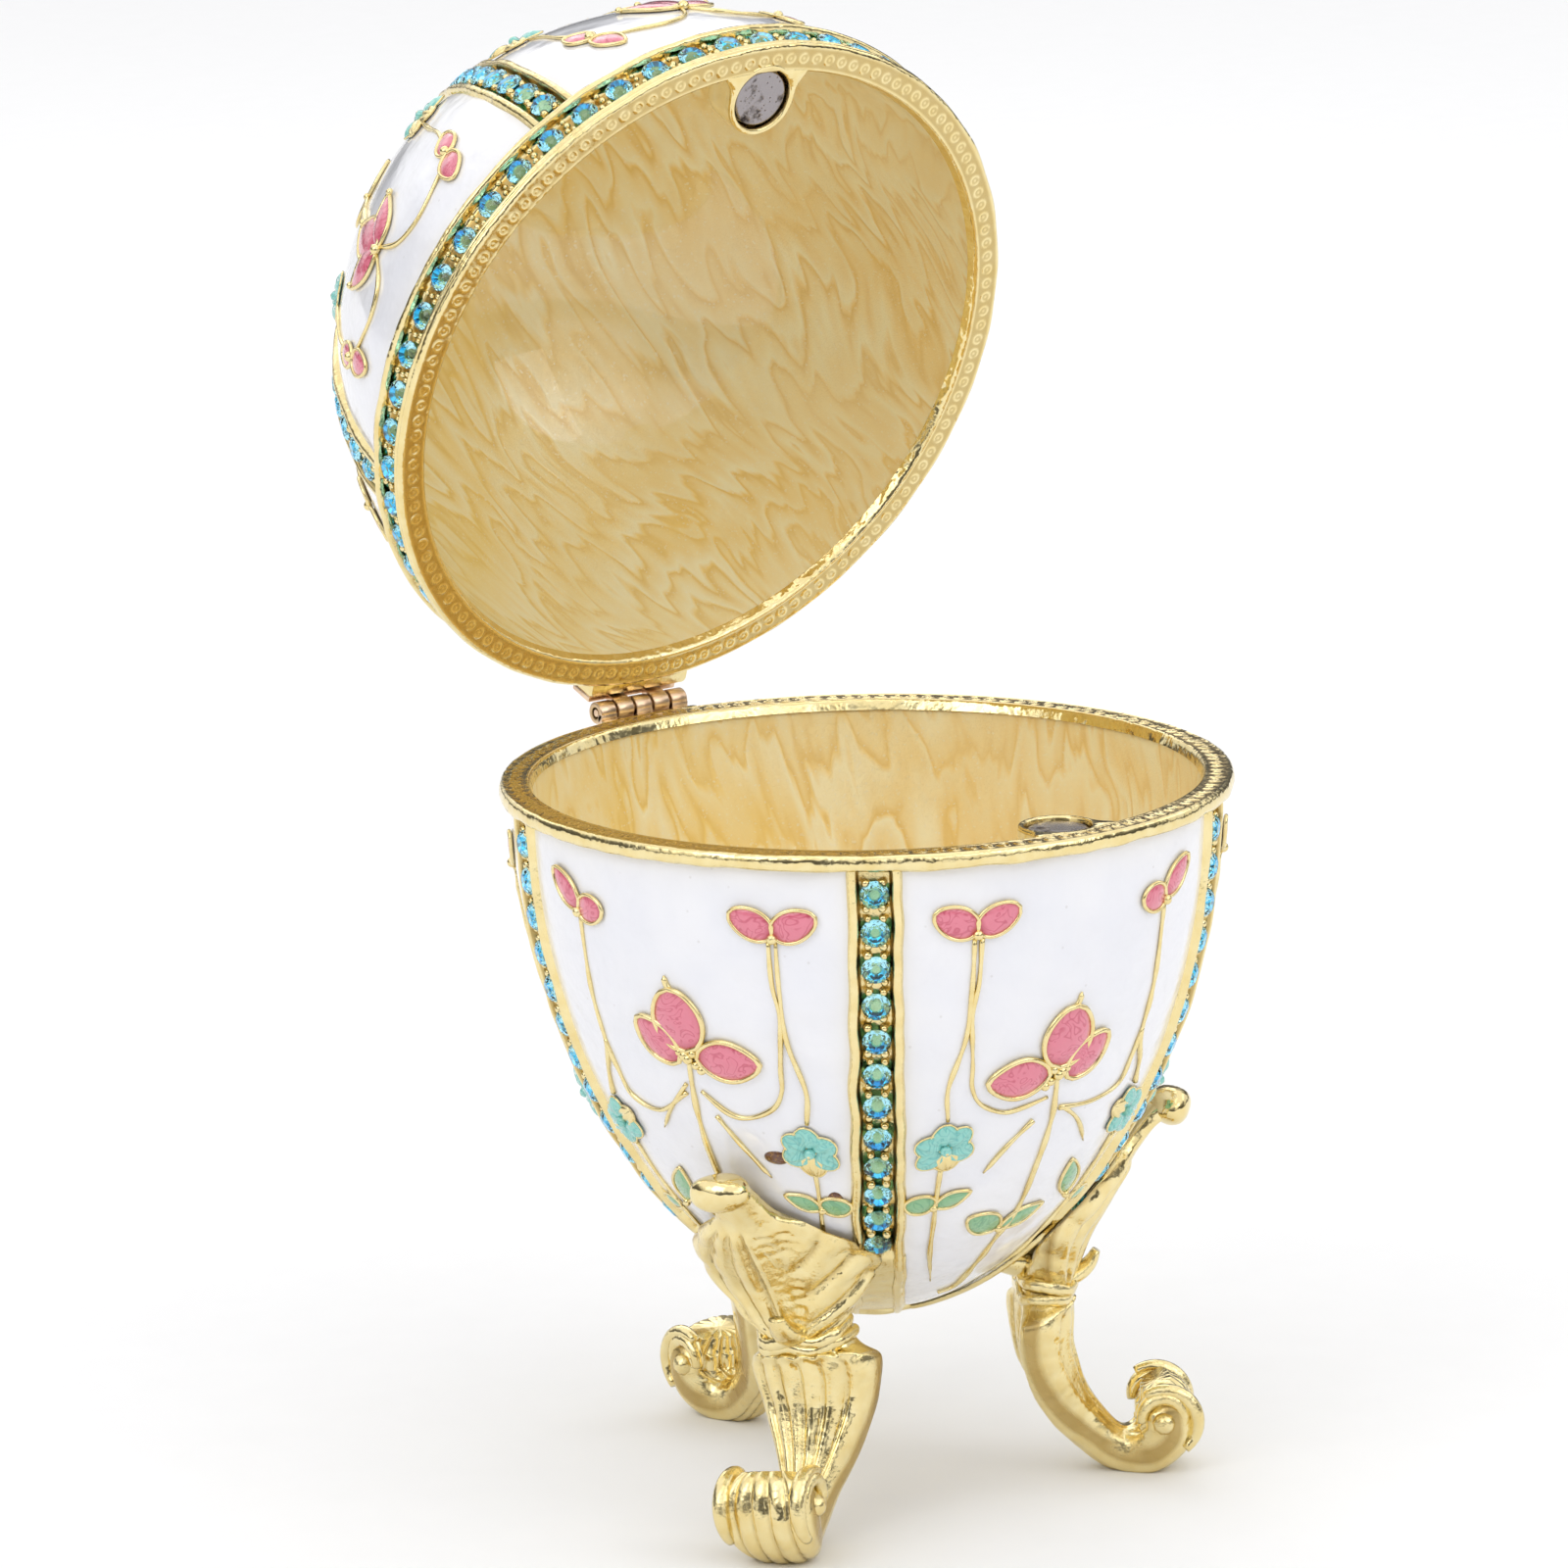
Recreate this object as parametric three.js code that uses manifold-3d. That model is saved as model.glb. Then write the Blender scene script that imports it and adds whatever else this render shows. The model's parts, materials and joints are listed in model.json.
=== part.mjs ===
// A jewelled egg trinket box: a hollow enamelled egg on three cast scroll legs, with its domed lid
// open on a small hinge at the back. Millimetres and degrees, +Z up, the front towards -Y.
// The base is drawn in an egg frame whose origin is the middle of the base's rim plane, and the lid
// in a frame of its own whose origin is the middle of the lid's rim plane, with its dome upwards.
// An azimuth is 0 at the front and grows towards +X.
import * as THREE from "three";
import { mergeVertices } from "three/addons/utils/BufferGeometryUtils.js";
import Module from "manifold-3d";

const wasm = await Module();
wasm.setup();

const gap = 0.3; // clearance between neighbouring pieces
const overlap = 0.1; // how far parts of one casting run into each other
const egg = {
  rimRadius: 30, // outside of the gold rims
  bodyRadius: 29.2, // enamel surface just under the rim
  mouthRadius: 27.6, // inside of the rims
  wall: 1.7,
  bandHeight: 1.3, // plain gold band of the base
  baseDepth: 44, // from the band down to the lowest point
  lidHeight: 33, // from the same height on the lid up to its highest point
  edge: 0.3, // rounding of the rims' outer corners
  lip: 1, // depth from the mouth to the first row of the inside
  innerPole: 6, // radius where the inside's last row stands
  rimGap: 0.4, // between the two rim planes when shut
  rimPlane: 60.42, // height of the base's rim plane over the ground
};
const ribs = {
  count: 5,
  first: -36, // azimuth of the first one
  halfWidth: 2.15,
  ridgeAt: 1.7, // middle of each gold rail
  floorAt: 1.35, // edge of the sunk channel
  ridge: 0.45, // how proud the rails stand
  channel: -0.7,
  filled: 0.1, // level of the channel where no stones are set
  stepUp: 0.6, // length over which the channel's floor rises at its end
  discRadius: 4.2, // plain gold disc where the ribs meet
  discTop: 0.93, // share of that radius where the disc reaches its full height
};
const seam = ribs.first - 8; // azimuth where rings of points begin
// the stone channel round the lid's rim: heights over the rim plane, and the radius of its floor
const channelRing = { from: 1.0, to: 3.7, railTop: 4.4, enamelFrom: 4.8, radius: 28.9, slope: 0.1 };
const stones = {
  radius: 1.12,
  table: 0.62, // half the width of the flat on top
  corner: 0.5, // from a rib stone's middle to its two wide corners, along the row
  crown: 0.55, // top of a stone over the enamel
  bed: -0.4, // underside of a row
  bead: 0.5, // half the width of the beads between two stones
  beadTop: 0.1,
  endRoom: 0.2, // metal past the last stone of a row
  pitch: 3.13,
  firstAt: 2, // middle of a row's first stone from the top of its channel
  baseCount: 12,
  lidCount: 11,
};
const rimStones = {
  count: 52, // all the way round, before the ones at the hinge seat are left out
  first: 1.4, // azimuth of the front one
  height: 2.35, // over the lid's rim plane
  level: 29.55, // radius of their seat
  skipNear: 12, // degrees either side of the hinge without stones
  endShare: 0.3, // the row runs on this share of a step past its last stones
};
const hinge = {
  radius: 32.08, // axis behind the egg's own axis
  height: 0.18, // axis over the base's rim plane
  knuckle: 0.95,
  bore: 0.6,
  pin: 0.33,
  knuckles: 5,
  knuckleLength: 1.6,
  knuckleGap: 0.25,
  leafThick: 0.6,
  leafDrop: 3.7,
  seatHalf: 5, // half the width of the flat seats behind the leaves
  seatDrop: 4.5,
  seatSet: 0.15, // how far a seat stands back from its rim plane
  seatRoot: 0.6, // from the inside of the rim out to where a seat begins
  openAngle: 69.7,
};
const magnet = {
  at: 25.15, // radius of the magnet's axis
  lug: 3.2, // radius of the rounded lug that holds it
  lugDepth: 3.8,
  rootDepth: 0.7, // how far the lug runs into the wall
  fillet: 1.6,
  pocket: 2.7, // radius of the pocket
  pocketDepth: 1.5,
  disc: 2.45, // radius of the magnet
  thick: 1.0,
};
const flowers = {
  radius: 2.3,
  top: 0.7, // share of the radius at the top of the boss
  lift: 0.6,
  sunk: 0.5,
  across: 9.4, // from the middle of a panel, along the surface
  baseHeight: -25.5,
  lidHeight: 22,
};
const legs = {
  leg_front_left: { azimuth: -62, lean: 8 },
  leg_front_right: { azimuth: 58, lean: 0 },
  leg_back: { azimuth: 178, lean: 0 },
};
const leanPivot = { r: 15, z: 17 }; // the front left leg leans about this point, seen from outside
const rad = THREE.MathUtils.degToRad;
const deg = THREE.MathUtils.radToDeg;

// ---- materials

const gold = new THREE.MeshStandardMaterial({ color: 0xd9c27a, roughness: 0.25, metalness: 1 });
const enamelledGold = new THREE.MeshStandardMaterial({ color: 0xeeeef5, roughness: 0.15, metalness: 0 });
const crystal = new THREE.MeshStandardMaterial({ color: 0x4fb3cc, roughness: 0.05, metalness: 0.2 });
const brass = new THREE.MeshStandardMaterial({ color: 0xd7b48c, roughness: 0.35, metalness: 1 });
const nickel = new THREE.MeshStandardMaterial({ color: 0x8f8a88, roughness: 0.3, metalness: 1 });

// ---- mesh tools

// the point at an azimuth, a radius and a height
function polar(azimuth, radius, height) {
  const a = rad(azimuth);
  return new THREE.Vector3(radius * Math.sin(a), -radius * Math.cos(a), height);
}

function azimuthOf(point, from) {
  const a = deg(Math.atan2(point.x, -point.y));
  return a < from ? a + 360 : a;
}

// joins two rings that run the same way round; a ring of one point is a pole
function bridge(triangles, lower, upper, first) {
  const m = lower.points.length;
  const n = upper.points.length;
  const below = (j) => lower.start + (j % m);
  const above = (j) => upper.start + (j % n);
  if (m === 1 || n === 1) {
    for (let j = 0; j < Math.max(m, n); j++) {
      if (n === 1) triangles.push(below(j), below(j + 1), upper.start);
      else triangles.push(lower.start, above(j + 1), above(j));
    }
    return;
  }
  const turn = (ring, j) => {
    const size = ring.points.length;
    return m === n ? j / size : azimuthOf(ring.points[j % size], first) + (j >= size ? 360 : 0);
  };
  let i = 0;
  let j = 0;
  while (i < m || j < n) {
    const stepLower = j >= n || (i < m && turn(lower, i + 1) <= turn(upper, j + 1));
    if (stepLower) triangles.push(below(i), below(++i), above(j));
    else triangles.push(below(i), above(j + 1), above(j++));
  }
}

// a closed skin through rings of points, each end shut by a pole or by a fan to the ring's middle
function skin(rings, first = -180) {
  const closed = [...rings];
  const middle = (ring) => {
    const sum = ring.reduce((total, p) => total.add(p), new THREE.Vector3());
    return [sum.divideScalar(ring.length)];
  };
  if (rings[0].length > 1) closed.unshift(middle(rings[0]));
  if (rings.at(-1).length > 1) closed.push(middle(rings.at(-1)));
  const triangles = [];
  const positions = [];
  const placed = [];
  for (const points of closed) {
    placed.push({ points, start: positions.length / 3 });
    for (const p of points) positions.push(...p.toArray());
  }
  for (let k = 1; k < placed.length; k++) bridge(triangles, placed[k - 1], placed[k], first);
  const geometry = new THREE.BufferGeometry();
  geometry.setAttribute("position", new THREE.Float32BufferAttribute(positions, 3));
  geometry.setIndex(triangles);
  return outward(geometry);
}

// turns the faces over where the closed surface is inside out
function outward(geometry) {
  const p = geometry.getAttribute("position");
  const index = geometry.getIndex().array;
  const [a, b, c] = [new THREE.Vector3(), new THREE.Vector3(), new THREE.Vector3()];
  let volume = 0;
  for (let t = 0; t < index.length; t += 3) {
    a.fromBufferAttribute(p, index[t]);
    b.fromBufferAttribute(p, index[t + 1]);
    c.fromBufferAttribute(p, index[t + 2]);
    volume += a.dot(b.cross(c));
  }
  if (volume < 0) geometry.setIndex([...index].reverse());
  return geometry;
}

function solid(geometry) {
  const bare = geometry.clone();
  bare.deleteAttribute("normal");
  bare.deleteAttribute("uv");
  const merged = mergeVertices(bare, 1e-5);
  return new wasm.Manifold(
    new wasm.Mesh({
      numProp: 3,
      vertProperties: new Float32Array(merged.getAttribute("position").array),
      triVerts: new Uint32Array(merged.getIndex().array),
    }),
  );
}

function geometryOf(body) {
  const mesh = body.getMesh();
  const geometry = new THREE.BufferGeometry();
  geometry.setAttribute("position", new THREE.Float32BufferAttribute(mesh.vertProperties, 3));
  geometry.setIndex([...mesh.triVerts]);
  geometry.computeVertexNormals();
  return geometry;
}

function block(x, y, z) {
  const size = [x[1] - x[0], y[1] - y[0], z[1] - z[0]];
  const geometry = new THREE.BoxGeometry(...size);
  return solid(geometry.translate((x[0] + x[1]) / 2, (y[0] + y[1]) / 2, (z[0] + z[1]) / 2));
}

// a round bar, upright between two heights or lying along X between two ends
function upright(radius, x, y, z, sides = 14) {
  const geometry = new THREE.CylinderGeometry(radius, radius, z[1] - z[0], sides).rotateX(Math.PI / 2);
  return solid(geometry.translate(x, y, (z[0] + z[1]) / 2));
}

function lying(radius, x, y, z, sides = 10) {
  const geometry = new THREE.CylinderGeometry(radius, radius, x[1] - x[0], sides).rotateZ(Math.PI / 2);
  return solid(geometry.translate((x[0] + x[1]) / 2, y, z));
}

// ---- the egg's outline

// The outline of one half, walked by its length from the rim: at(s) gives the radius, the height
// and the outward normal there. The curve is r = radius * (1 - t^p)^q, with t the share of its depth.
function outline(depth, p, q, direction) {
  const samples = 2000;
  const points = [];
  for (let i = 0; i <= samples; i++) {
    const t = 1 - (1 - i / samples) ** 2;
    const r = egg.bodyRadius * (1 - t ** p) ** q;
    points.push({ r, z: direction * (egg.bandHeight + depth * t), s: 0 });
  }
  for (let i = 1; i <= samples; i++) {
    const step = Math.hypot(points[i].r - points[i - 1].r, points[i].z - points[i - 1].z);
    points[i].s = points[i - 1].s + step;
  }
  const at = (s) => {
    const i = Math.min(Math.max(points.findIndex((point) => point.s >= s), 1), samples);
    const [a, b] = [points[i - 1], points[i]];
    const share = (s - a.s) / (b.s - a.s);
    const step = b.s - a.s;
    return {
      r: a.r + (b.r - a.r) * share,
      z: a.z + (b.z - a.z) * share,
      normal: { r: (Math.abs(b.z - a.z) / step), z: (direction * (a.r - b.r)) / step },
    };
  };
  const reach = (radius) => points.find((point) => point.r <= radius).s;
  const down = (height) => points.find((point) => Math.abs(point.z) >= Math.abs(height)).s;
  return { at, reach, down, end: direction * (egg.bandHeight + depth) };
}

const baseCurve = outline(egg.baseDepth, 1.87, 0.55, -1);
const lidCurve = outline(egg.lidHeight, 2, 0.55, 1);

// a point a given height over the egg's surface
function over(here, azimuth, lift) {
  return polar(azimuth, here.r + here.normal.r * lift, here.z + here.normal.z * lift);
}

// one ring of points round the egg that climbs each rib's rails and dips into its channel
function ribbedRing(here, level, panelSteps = 3) {
  const across = [
    [-ribs.halfWidth, 0],
    [-ribs.ridgeAt, ribs.ridge],
    [-ribs.floorAt, level],
    [ribs.floorAt, level],
    [ribs.ridgeAt, ribs.ridge],
    [ribs.halfWidth, 0],
  ];
  const sector = 360 / ribs.count;
  const points = [];
  for (let k = 0; k < ribs.count; k++) {
    const centre = ribs.first + k * sector;
    for (const [x, lift] of across) points.push(over(here, centre + deg(x / here.r), lift));
    const edge = deg(ribs.halfWidth / here.r);
    for (let j = 1; j <= panelSteps; j++) {
      const share = j / (panelSteps + 1);
      points.push(over(here, centre + edge + (sector - 2 * edge) * share, 0));
    }
  }
  return points;
}

// the same ring of azimuths at one radius and height, where the metal is plain
function plainRing(pattern, radius, height) {
  return pattern.map((p) => polar(deg(Math.atan2(p.x, -p.y)), radius, height));
}

function roundRing(radius, height) {
  const step = 360 / innerSides;
  return Array.from({ length: innerSides }, (_, j) => polar(seam + (j + 0.3) * step, radius, height));
}

// ---- the two shells

const innerSides = 26;
const outerStep = 7; // most between two rows of points down the outside
const innerStep = 8;

// even steps from one length to another, none longer than the most allowed
function evenly(from, to, most) {
  const count = Math.ceil((to - from) / most);
  return Array.from({ length: count + 1 }, (_, i) => from + ((to - from) * i) / count);
}

// rows of the outside, from the first length down to the gold disc at the end
function outerRows(curve, from, channelEnd) {
  const disc = curve.reach(ribs.discRadius);
  const sunk = evenly(from, channelEnd, outerStep).map((s) => ribbedRing(curve.at(s), ribs.channel));
  const past = evenly(channelEnd + ribs.stepUp, disc, outerStep);
  const bare = past.map((s) => ribbedRing(curve.at(s), ribs.filled));
  const here = curve.at(disc);
  const edge = plainRing(bare.at(-1), here.r * ribs.discTop, here.z + here.normal.z * ribs.ridge);
  return [...sunk, ...bare, edge];
}

function innerRows(curve) {
  return evenly(egg.lip, curve.reach(egg.innerPole), innerStep).map((s) => {
    const { r, z, normal } = curve.at(s);
    return roundRing(r - normal.r * egg.wall, z - normal.z * egg.wall);
  });
}

// where a row of stones and its channel end
const rowEnd = (count) => stones.firstAt + (count - 1) * stones.pitch + stones.radius + stones.endRoom;
const channelEnd = (count) => rowEnd(count) + gap;
const pole = (height) => [new THREE.Vector3(0, 0, height)];

function baseSkin() {
  const outer = outerRows(baseCurve, 0, channelEnd(stones.baseCount));
  const top = outer[0];
  const { rimRadius, bandHeight, mouthRadius, wall, edge } = egg;
  return skin([
    pole(baseCurve.end - ribs.ridge),
    ...outer.reverse(),
    plainRing(top, rimRadius, -bandHeight),
    plainRing(top, rimRadius, -edge),
    plainRing(top, rimRadius - edge, 0),
    roundRing(mouthRadius, 0),
    ...innerRows(baseCurve),
    pole(baseCurve.end + wall),
  ], seam);
}

function lidSkin() {
  const from = lidCurve.down(channelRing.enamelFrom);
  const outer = outerRows(lidCurve, from, from + channelEnd(stones.lidCount));
  const pattern = outer[0];
  const { rimRadius, mouthRadius, wall, edge } = egg;
  const { radius, slope, railTop } = channelRing;
  const border = [
    [rimRadius - edge, 0],
    [rimRadius, edge],
    [rimRadius, channelRing.from],
    [radius, channelRing.from + slope],
    [radius, channelRing.to],
    [rimRadius - slope, channelRing.to + slope],
    [rimRadius - 2 * slope, railTop],
  ];
  return skin([
    pole(lidCurve.end - wall),
    ...innerRows(lidCurve).reverse(),
    roundRing(mouthRadius, 0),
    ...border.map(([r, z]) => plainRing(pattern, r, z)),
    ...outer,
    pole(lidCurve.end + ribs.ridge),
  ], seam);
}

// The rounded lug that carries a magnet behind the front of a rim. side is -1 under the base's
// rim and +1 over the lid's.
function magnetLug(side) {
  const { at, lug, lugDepth, rootDepth, fillet, pocket, pocketDepth } = magnet;
  const root = -egg.mouthRadius - rootDepth;
  const shape = new THREE.Shape();
  shape.moveTo(lug + fillet, root);
  shape.quadraticCurveTo(lug, root + 1, lug, -at);
  shape.absarc(0, -at, lug, 0, Math.PI, false);
  shape.quadraticCurveTo(-lug, root + 1, -lug - fillet, root);
  const tab = new THREE.ExtrudeGeometry(shape, { depth: lugDepth, bevelEnabled: false, curveSegments: 5 });
  const body = solid(side < 0 ? tab.translate(0, 0, -lugDepth) : tab);
  const heights = side < 0 ? [-pocketDepth, overlap] : [-overlap, pocketDepth];
  return { body, pocket: upright(pocket, 0, -at, heights) };
}

// a flat seat for a hinge leaf at the back of a rim
function hingeSeat(side) {
  const { seatHalf, seatDrop, seatSet, seatRoot } = hinge;
  const depth = [egg.mouthRadius + seatRoot, hinge.radius - hinge.knuckle - gap];
  const heights = side < 0 ? [-seatDrop, -seatSet] : [seatSet, seatDrop];
  return block([-seatHalf, seatHalf], depth, heights);
}

// a small raised flower boss on a panel
function flowerBoss(curve, s, azimuth) {
  const here = curve.at(s);
  const normal = polar(azimuth, here.normal.r, here.normal.z);
  const east = polar(azimuth + 90, 1, 0);
  const along = new THREE.Vector3().crossVectors(normal, east);
  const centre = polar(azimuth, here.r, here.z);
  const ring = (radius, lift) => Array.from({ length: 6 }, (_, j) => {
    const a = (j * Math.PI) / 3;
    return centre.clone()
      .addScaledVector(east, radius * Math.cos(a))
      .addScaledVector(along, radius * Math.sin(a))
      .addScaledVector(normal, lift);
  });
  const { radius, top, lift, sunk } = flowers;
  return solid(skin([ring(radius, -sunk), ring(radius * top, lift)]));
}

function withFlowers(body, curve, height) {
  const s = curve.down(height);
  const across = deg(flowers.across / curve.at(s).r);
  let made = body;
  for (let k = 0; k < ribs.count; k++) {
    const panel = ribs.first + (k + 0.5) * (360 / ribs.count);
    for (const side of [-1, 1]) made = made.add(flowerBoss(curve, s, panel + side * across));
  }
  return made;
}

function shell(geometry, side, curve, flowerHeight) {
  const lug = magnetLug(side);
  const plain = solid(geometry).add(hingeSeat(side)).add(lug.body).subtract(lug.pocket);
  return withFlowers(plain, curve, flowerHeight);
}

// ---- rows of stones

// A row of stones joined by the beads between them. place(s, across, lift) gives the point at a
// length along the row, a distance to its side and a height over its seat. With a corner length
// each stone has six sides, and with none it has four.
function stoneRow(place, middles, spacing, corner, ends) {
  const section = (s, foot, top, lift) => [
    place(s, -foot, stones.bed),
    place(s, foot, stones.bed),
    place(s, top, lift),
    place(s, -top, lift),
  ];
  const { radius, table, crown, bead, beadTop } = stones;
  const between = (s) => section(s, bead, bead, beadTop);
  const sections = [between(ends[0])];
  middles.forEach((s, k) => {
    if (k > 0) sections.push(between(s - spacing / 2));
    sections.push(section(s - corner, radius, table, crown));
    if (corner > 0) sections.push(section(s + corner, radius, table, crown));
  });
  sections.push(between(ends[1]));
  return solid(skin(sections));
}

// the stones of one rib
function ribStones(curve, from, azimuth, count, skipped) {
  const east = polar(azimuth + 90, 1, 0);
  const place = (s, across, lift) => over(curve.at(from + s), azimuth, lift).addScaledVector(east, across);
  const middles = [];
  for (let k = skipped; k < count; k++) middles.push(stones.firstAt + k * stones.pitch);
  const ends = [middles[0] - stones.radius - stones.endRoom, rowEnd(count)];
  return stoneRow(place, middles, stones.pitch, stones.corner, ends);
}

// the ring of stones in the lid's rim channel, open at the back where the hinge seat fills it
function rimStoneRing() {
  const { count, first, height, skipNear, level, endShare } = rimStones;
  const step = 360 / count;
  const turns = Array.from({ length: count }, (_, k) => first + (k - count / 2) * step);
  const kept = turns.filter((a) => Math.abs(a) < 180 - skipNear);
  const arc = rad(step) * level; // between two stones
  const place = (s, across, lift) => polar((s / arc) * step, level + lift, height + across);
  const middles = kept.map((a) => (a / step) * arc);
  return stoneRow(place, middles, arc, 0, [middles[0] - endShare * arc, middles.at(-1) + endShare * arc]);
}

// ---- legs

// Stations down one leg, from its top curl to the end of its scroll foot. Each has the radius and
// height of the middle of the section, half its thickness, half its width, how far its sides bend
// back, and the depth of its flutes on the outer and on the inner face.
const legStations = [
  { r: 25.9, z: 31.2, thick: 1.1, wide: 2.0, bend: 0, outer: 0, inner: 0 },
  { r: 24.8, z: 31.6, thick: 1.6, wide: 2.6, bend: 0, outer: 0, inner: 0 },
  { r: 23.2, z: 30.8, thick: 1.1, wide: 2.2, bend: 0, outer: 0, inner: 0 },
  { r: 21.3, z: 28.3, thick: 0.9, wide: 2.6, bend: 0.2, outer: 0, inner: 0 },
  { r: 20.2, z: 26.8, thick: 1.0, wide: 4.6, bend: 0.8, outer: 0.25, inner: 0 },
  { r: 18.4, z: 24.2, thick: 1.1, wide: 7.0, bend: 2.2, outer: 0.35, inner: 0 },
  { r: 16.6, z: 21.7, thick: 1.3, wide: 7.7, bend: 3.0, outer: 0.35, inner: 0 },
  { r: 15.0, z: 19.0, thick: 1.9, wide: 5.6, bend: 1.7, outer: 0.3, inner: 0 },
  { r: 14.3, z: 16.9, thick: 2.3, wide: 3.6, bend: 0.5, outer: 0, inner: 0 },
  { r: 14.1, z: 15.5, thick: 2.3, wide: 4.4, bend: 0.8, outer: 0, inner: 0 },
  { r: 14.2, z: 14.2, thick: 1.7, wide: 5.7, bend: 1.8, outer: 0.3, inner: 0 },
  { r: 14.2, z: 10.8, thick: 1.7, wide: 5.0, bend: 1.6, outer: 0.4, inner: 0 },
  { r: 15.2, z: 7.2, thick: 1.8, wide: 3.6, bend: 0.9, outer: 0.35, inner: 0 },
  { r: 17.2, z: 4.2, thick: 1.75, wide: 2.2, bend: 0.3, outer: 0.2, inner: 0 },
  { r: 19.8, z: 1.95, thick: 1.8, wide: 1.9, bend: 0, outer: 0, inner: 0 },
  { r: 22.4, z: 1.6, thick: 2.1, wide: 3.1, bend: 0, outer: 0.15, inner: 0.1 },
  { r: 24.2, z: 3.4, thick: 2.1, wide: 4.0, bend: 0, outer: 0.2, inner: 0.45 },
  { r: 24.1, z: 5.8, thick: 2.0, wide: 3.9, bend: 0, outer: 0.2, inner: 0.45 },
  { r: 23.4, z: 7.4, thick: 1.2, wide: 2.5, bend: 0, outer: 0, inner: 0 },
];
// Two tapered stubs: the small pointed leaf at the waist and the seat under the egg. Each end has
// its radius, height, half its thickness and half its width.
const leafTip = { root: [15.6, 17.0, 0.9, 1.8], point: [18.5, 18.7, 0.25, 0.5] };
const seat = { root: [14.4, 17.9, 2.3, 2.6], point: [10.8, 19.2, 1.6, 1.8] };
const legFace = {
  flutes: 4, // across each face
  steps: 8, // points across each face
  side: 0.25, // share of the thickness left at the two sides
  round: 2.5, // how flat the middle of a face is; 2 would be an ellipse
};

// one section of a leg in the leg's own plane: x runs along the egg's radius, y across it
function legSection(station, tangent) {
  const { r, z, thick, wide, bend, outer, inner } = station;
  const { flutes, steps, side, round } = legFace;
  const face = (j, top) => {
    const share = -1 + (2 * j) / steps;
    const bulge = Math.sqrt(Math.max(0, 1 - Math.abs(share) ** round));
    const flute = -Math.cos(share * flutes * Math.PI) * (top ? outer : inner) * Math.min(1, bulge * 2);
    const height = thick * (side + (1 - side) * bulge) + flute;
    const lift = (top ? height : -height) - bend * share * share;
    return new THREE.Vector3(r - tangent.z * lift, wide * share, z + tangent.x * lift);
  };
  const points = [];
  for (let j = 0; j <= steps; j++) points.push(face(j, true));
  for (let j = steps; j >= 0; j--) points.push(face(j, false));
  return points;
}

function loftLeg() {
  const last = legStations.length - 1;
  return solid(skin(legStations.map((station, k) => {
    const [a, b] = [legStations[Math.max(k - 1, 0)], legStations[Math.min(k + 1, last)]];
    const tangent = new THREE.Vector3(b.r - a.r, 0, b.z - a.z).normalize();
    return legSection(station, tangent);
  })));
}

function taper({ root, point }) {
  const square = ([r, z, thick, wide]) => [
    new THREE.Vector3(r, -wide, z - thick),
    new THREE.Vector3(r, wide, z - thick),
    new THREE.Vector3(r, wide, z + thick),
    new THREE.Vector3(r, -wide, z + thick),
  ];
  return solid(skin([square(root), square(point)]));
}

// the egg's outside, grown by the clearance, to seat a leg on it
function eggClearance() {
  const rows = 10;
  const sides = 30;
  const grow = ribs.ridge + gap;
  const reach = baseCurve.reach(ribs.discRadius);
  const profile = [new THREE.Vector2(0, baseCurve.end - grow)];
  for (let i = 0; i <= rows; i++) {
    const here = baseCurve.at(reach * (1 - i / rows));
    profile.push(new THREE.Vector2(here.r + here.normal.r * grow, here.z + here.normal.z * grow));
  }
  profile.push(new THREE.Vector2(0, -egg.bandHeight));
  const turned = new THREE.LatheGeometry(profile, sides).rotateX(Math.PI / 2);
  return solid(turned.translate(0, 0, egg.rimPlane));
}

function leg(azimuth, lean) {
  const { r, z } = leanPivot;
  const body = loftLeg().add(taper(seat)).add(taper(leafTip));
  const place = new THREE.Matrix4().makeRotationZ(rad(azimuth - 90))
    .multiply(new THREE.Matrix4().makeTranslation(r, 0, z))
    .multiply(new THREE.Matrix4().makeRotationX(rad(lean)))
    .multiply(new THREE.Matrix4().makeTranslation(-r, 0, -z));
  const standing = solid(geometryOf(body).applyMatrix4(place));
  const reach = egg.rimRadius;
  const ground = block([-reach, reach], [-reach, reach], [-reach, 0]);
  return standing.subtract(eggClearance()).subtract(ground);
}

// ---- hinge and magnets

const knuckleStep = hinge.knuckleLength + hinge.knuckleGap;
const knuckleStart = (k) => (k - hinge.knuckles / 2) * knuckleStep + hinge.knuckleGap / 2;
const barrel = [knuckleStart(0), knuckleStart(hinge.knuckles - 1) + hinge.knuckleLength];

// One leaf with its knuckles, in the frame of the hinge axis. side is -1 for the base's leaf, which
// hangs down and takes the outer and middle knuckles, and +1 for the lid's.
function hingeLeaf(side) {
  const inner = -hinge.knuckle;
  const flank = [inner, inner + hinge.leafThick];
  const clear = hinge.knuckle + hinge.knuckleGap;
  const plate = side < 0 ? [-hinge.leafDrop, -clear] : [clear, hinge.leafDrop];
  let leaf = block(barrel, flank, plate);
  for (let k = 0; k < hinge.knuckles; k++) {
    if ((k % 2 === 0) !== side < 0) continue;
    const x = [knuckleStart(k), knuckleStart(k) + hinge.knuckleLength];
    const web = clear + overlap;
    leaf = leaf.add(block(x, flank, side < 0 ? [-web, 0] : [0, web]));
    leaf = leaf.add(lying(hinge.knuckle, x, 0, 0));
  }
  return leaf.subtract(lying(hinge.bore, [barrel[0] - overlap, barrel[1] + overlap], 0, 0, 8));
}

function magnetDisc(side) {
  const { at, disc, thick, pocketDepth } = magnet;
  const deep = pocketDepth - gap;
  const heights = side < 0 ? [-deep, thick - deep] : [deep - thick, deep];
  return upright(disc, 0, -at, heights);
}

// ---- putting it together

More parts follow.
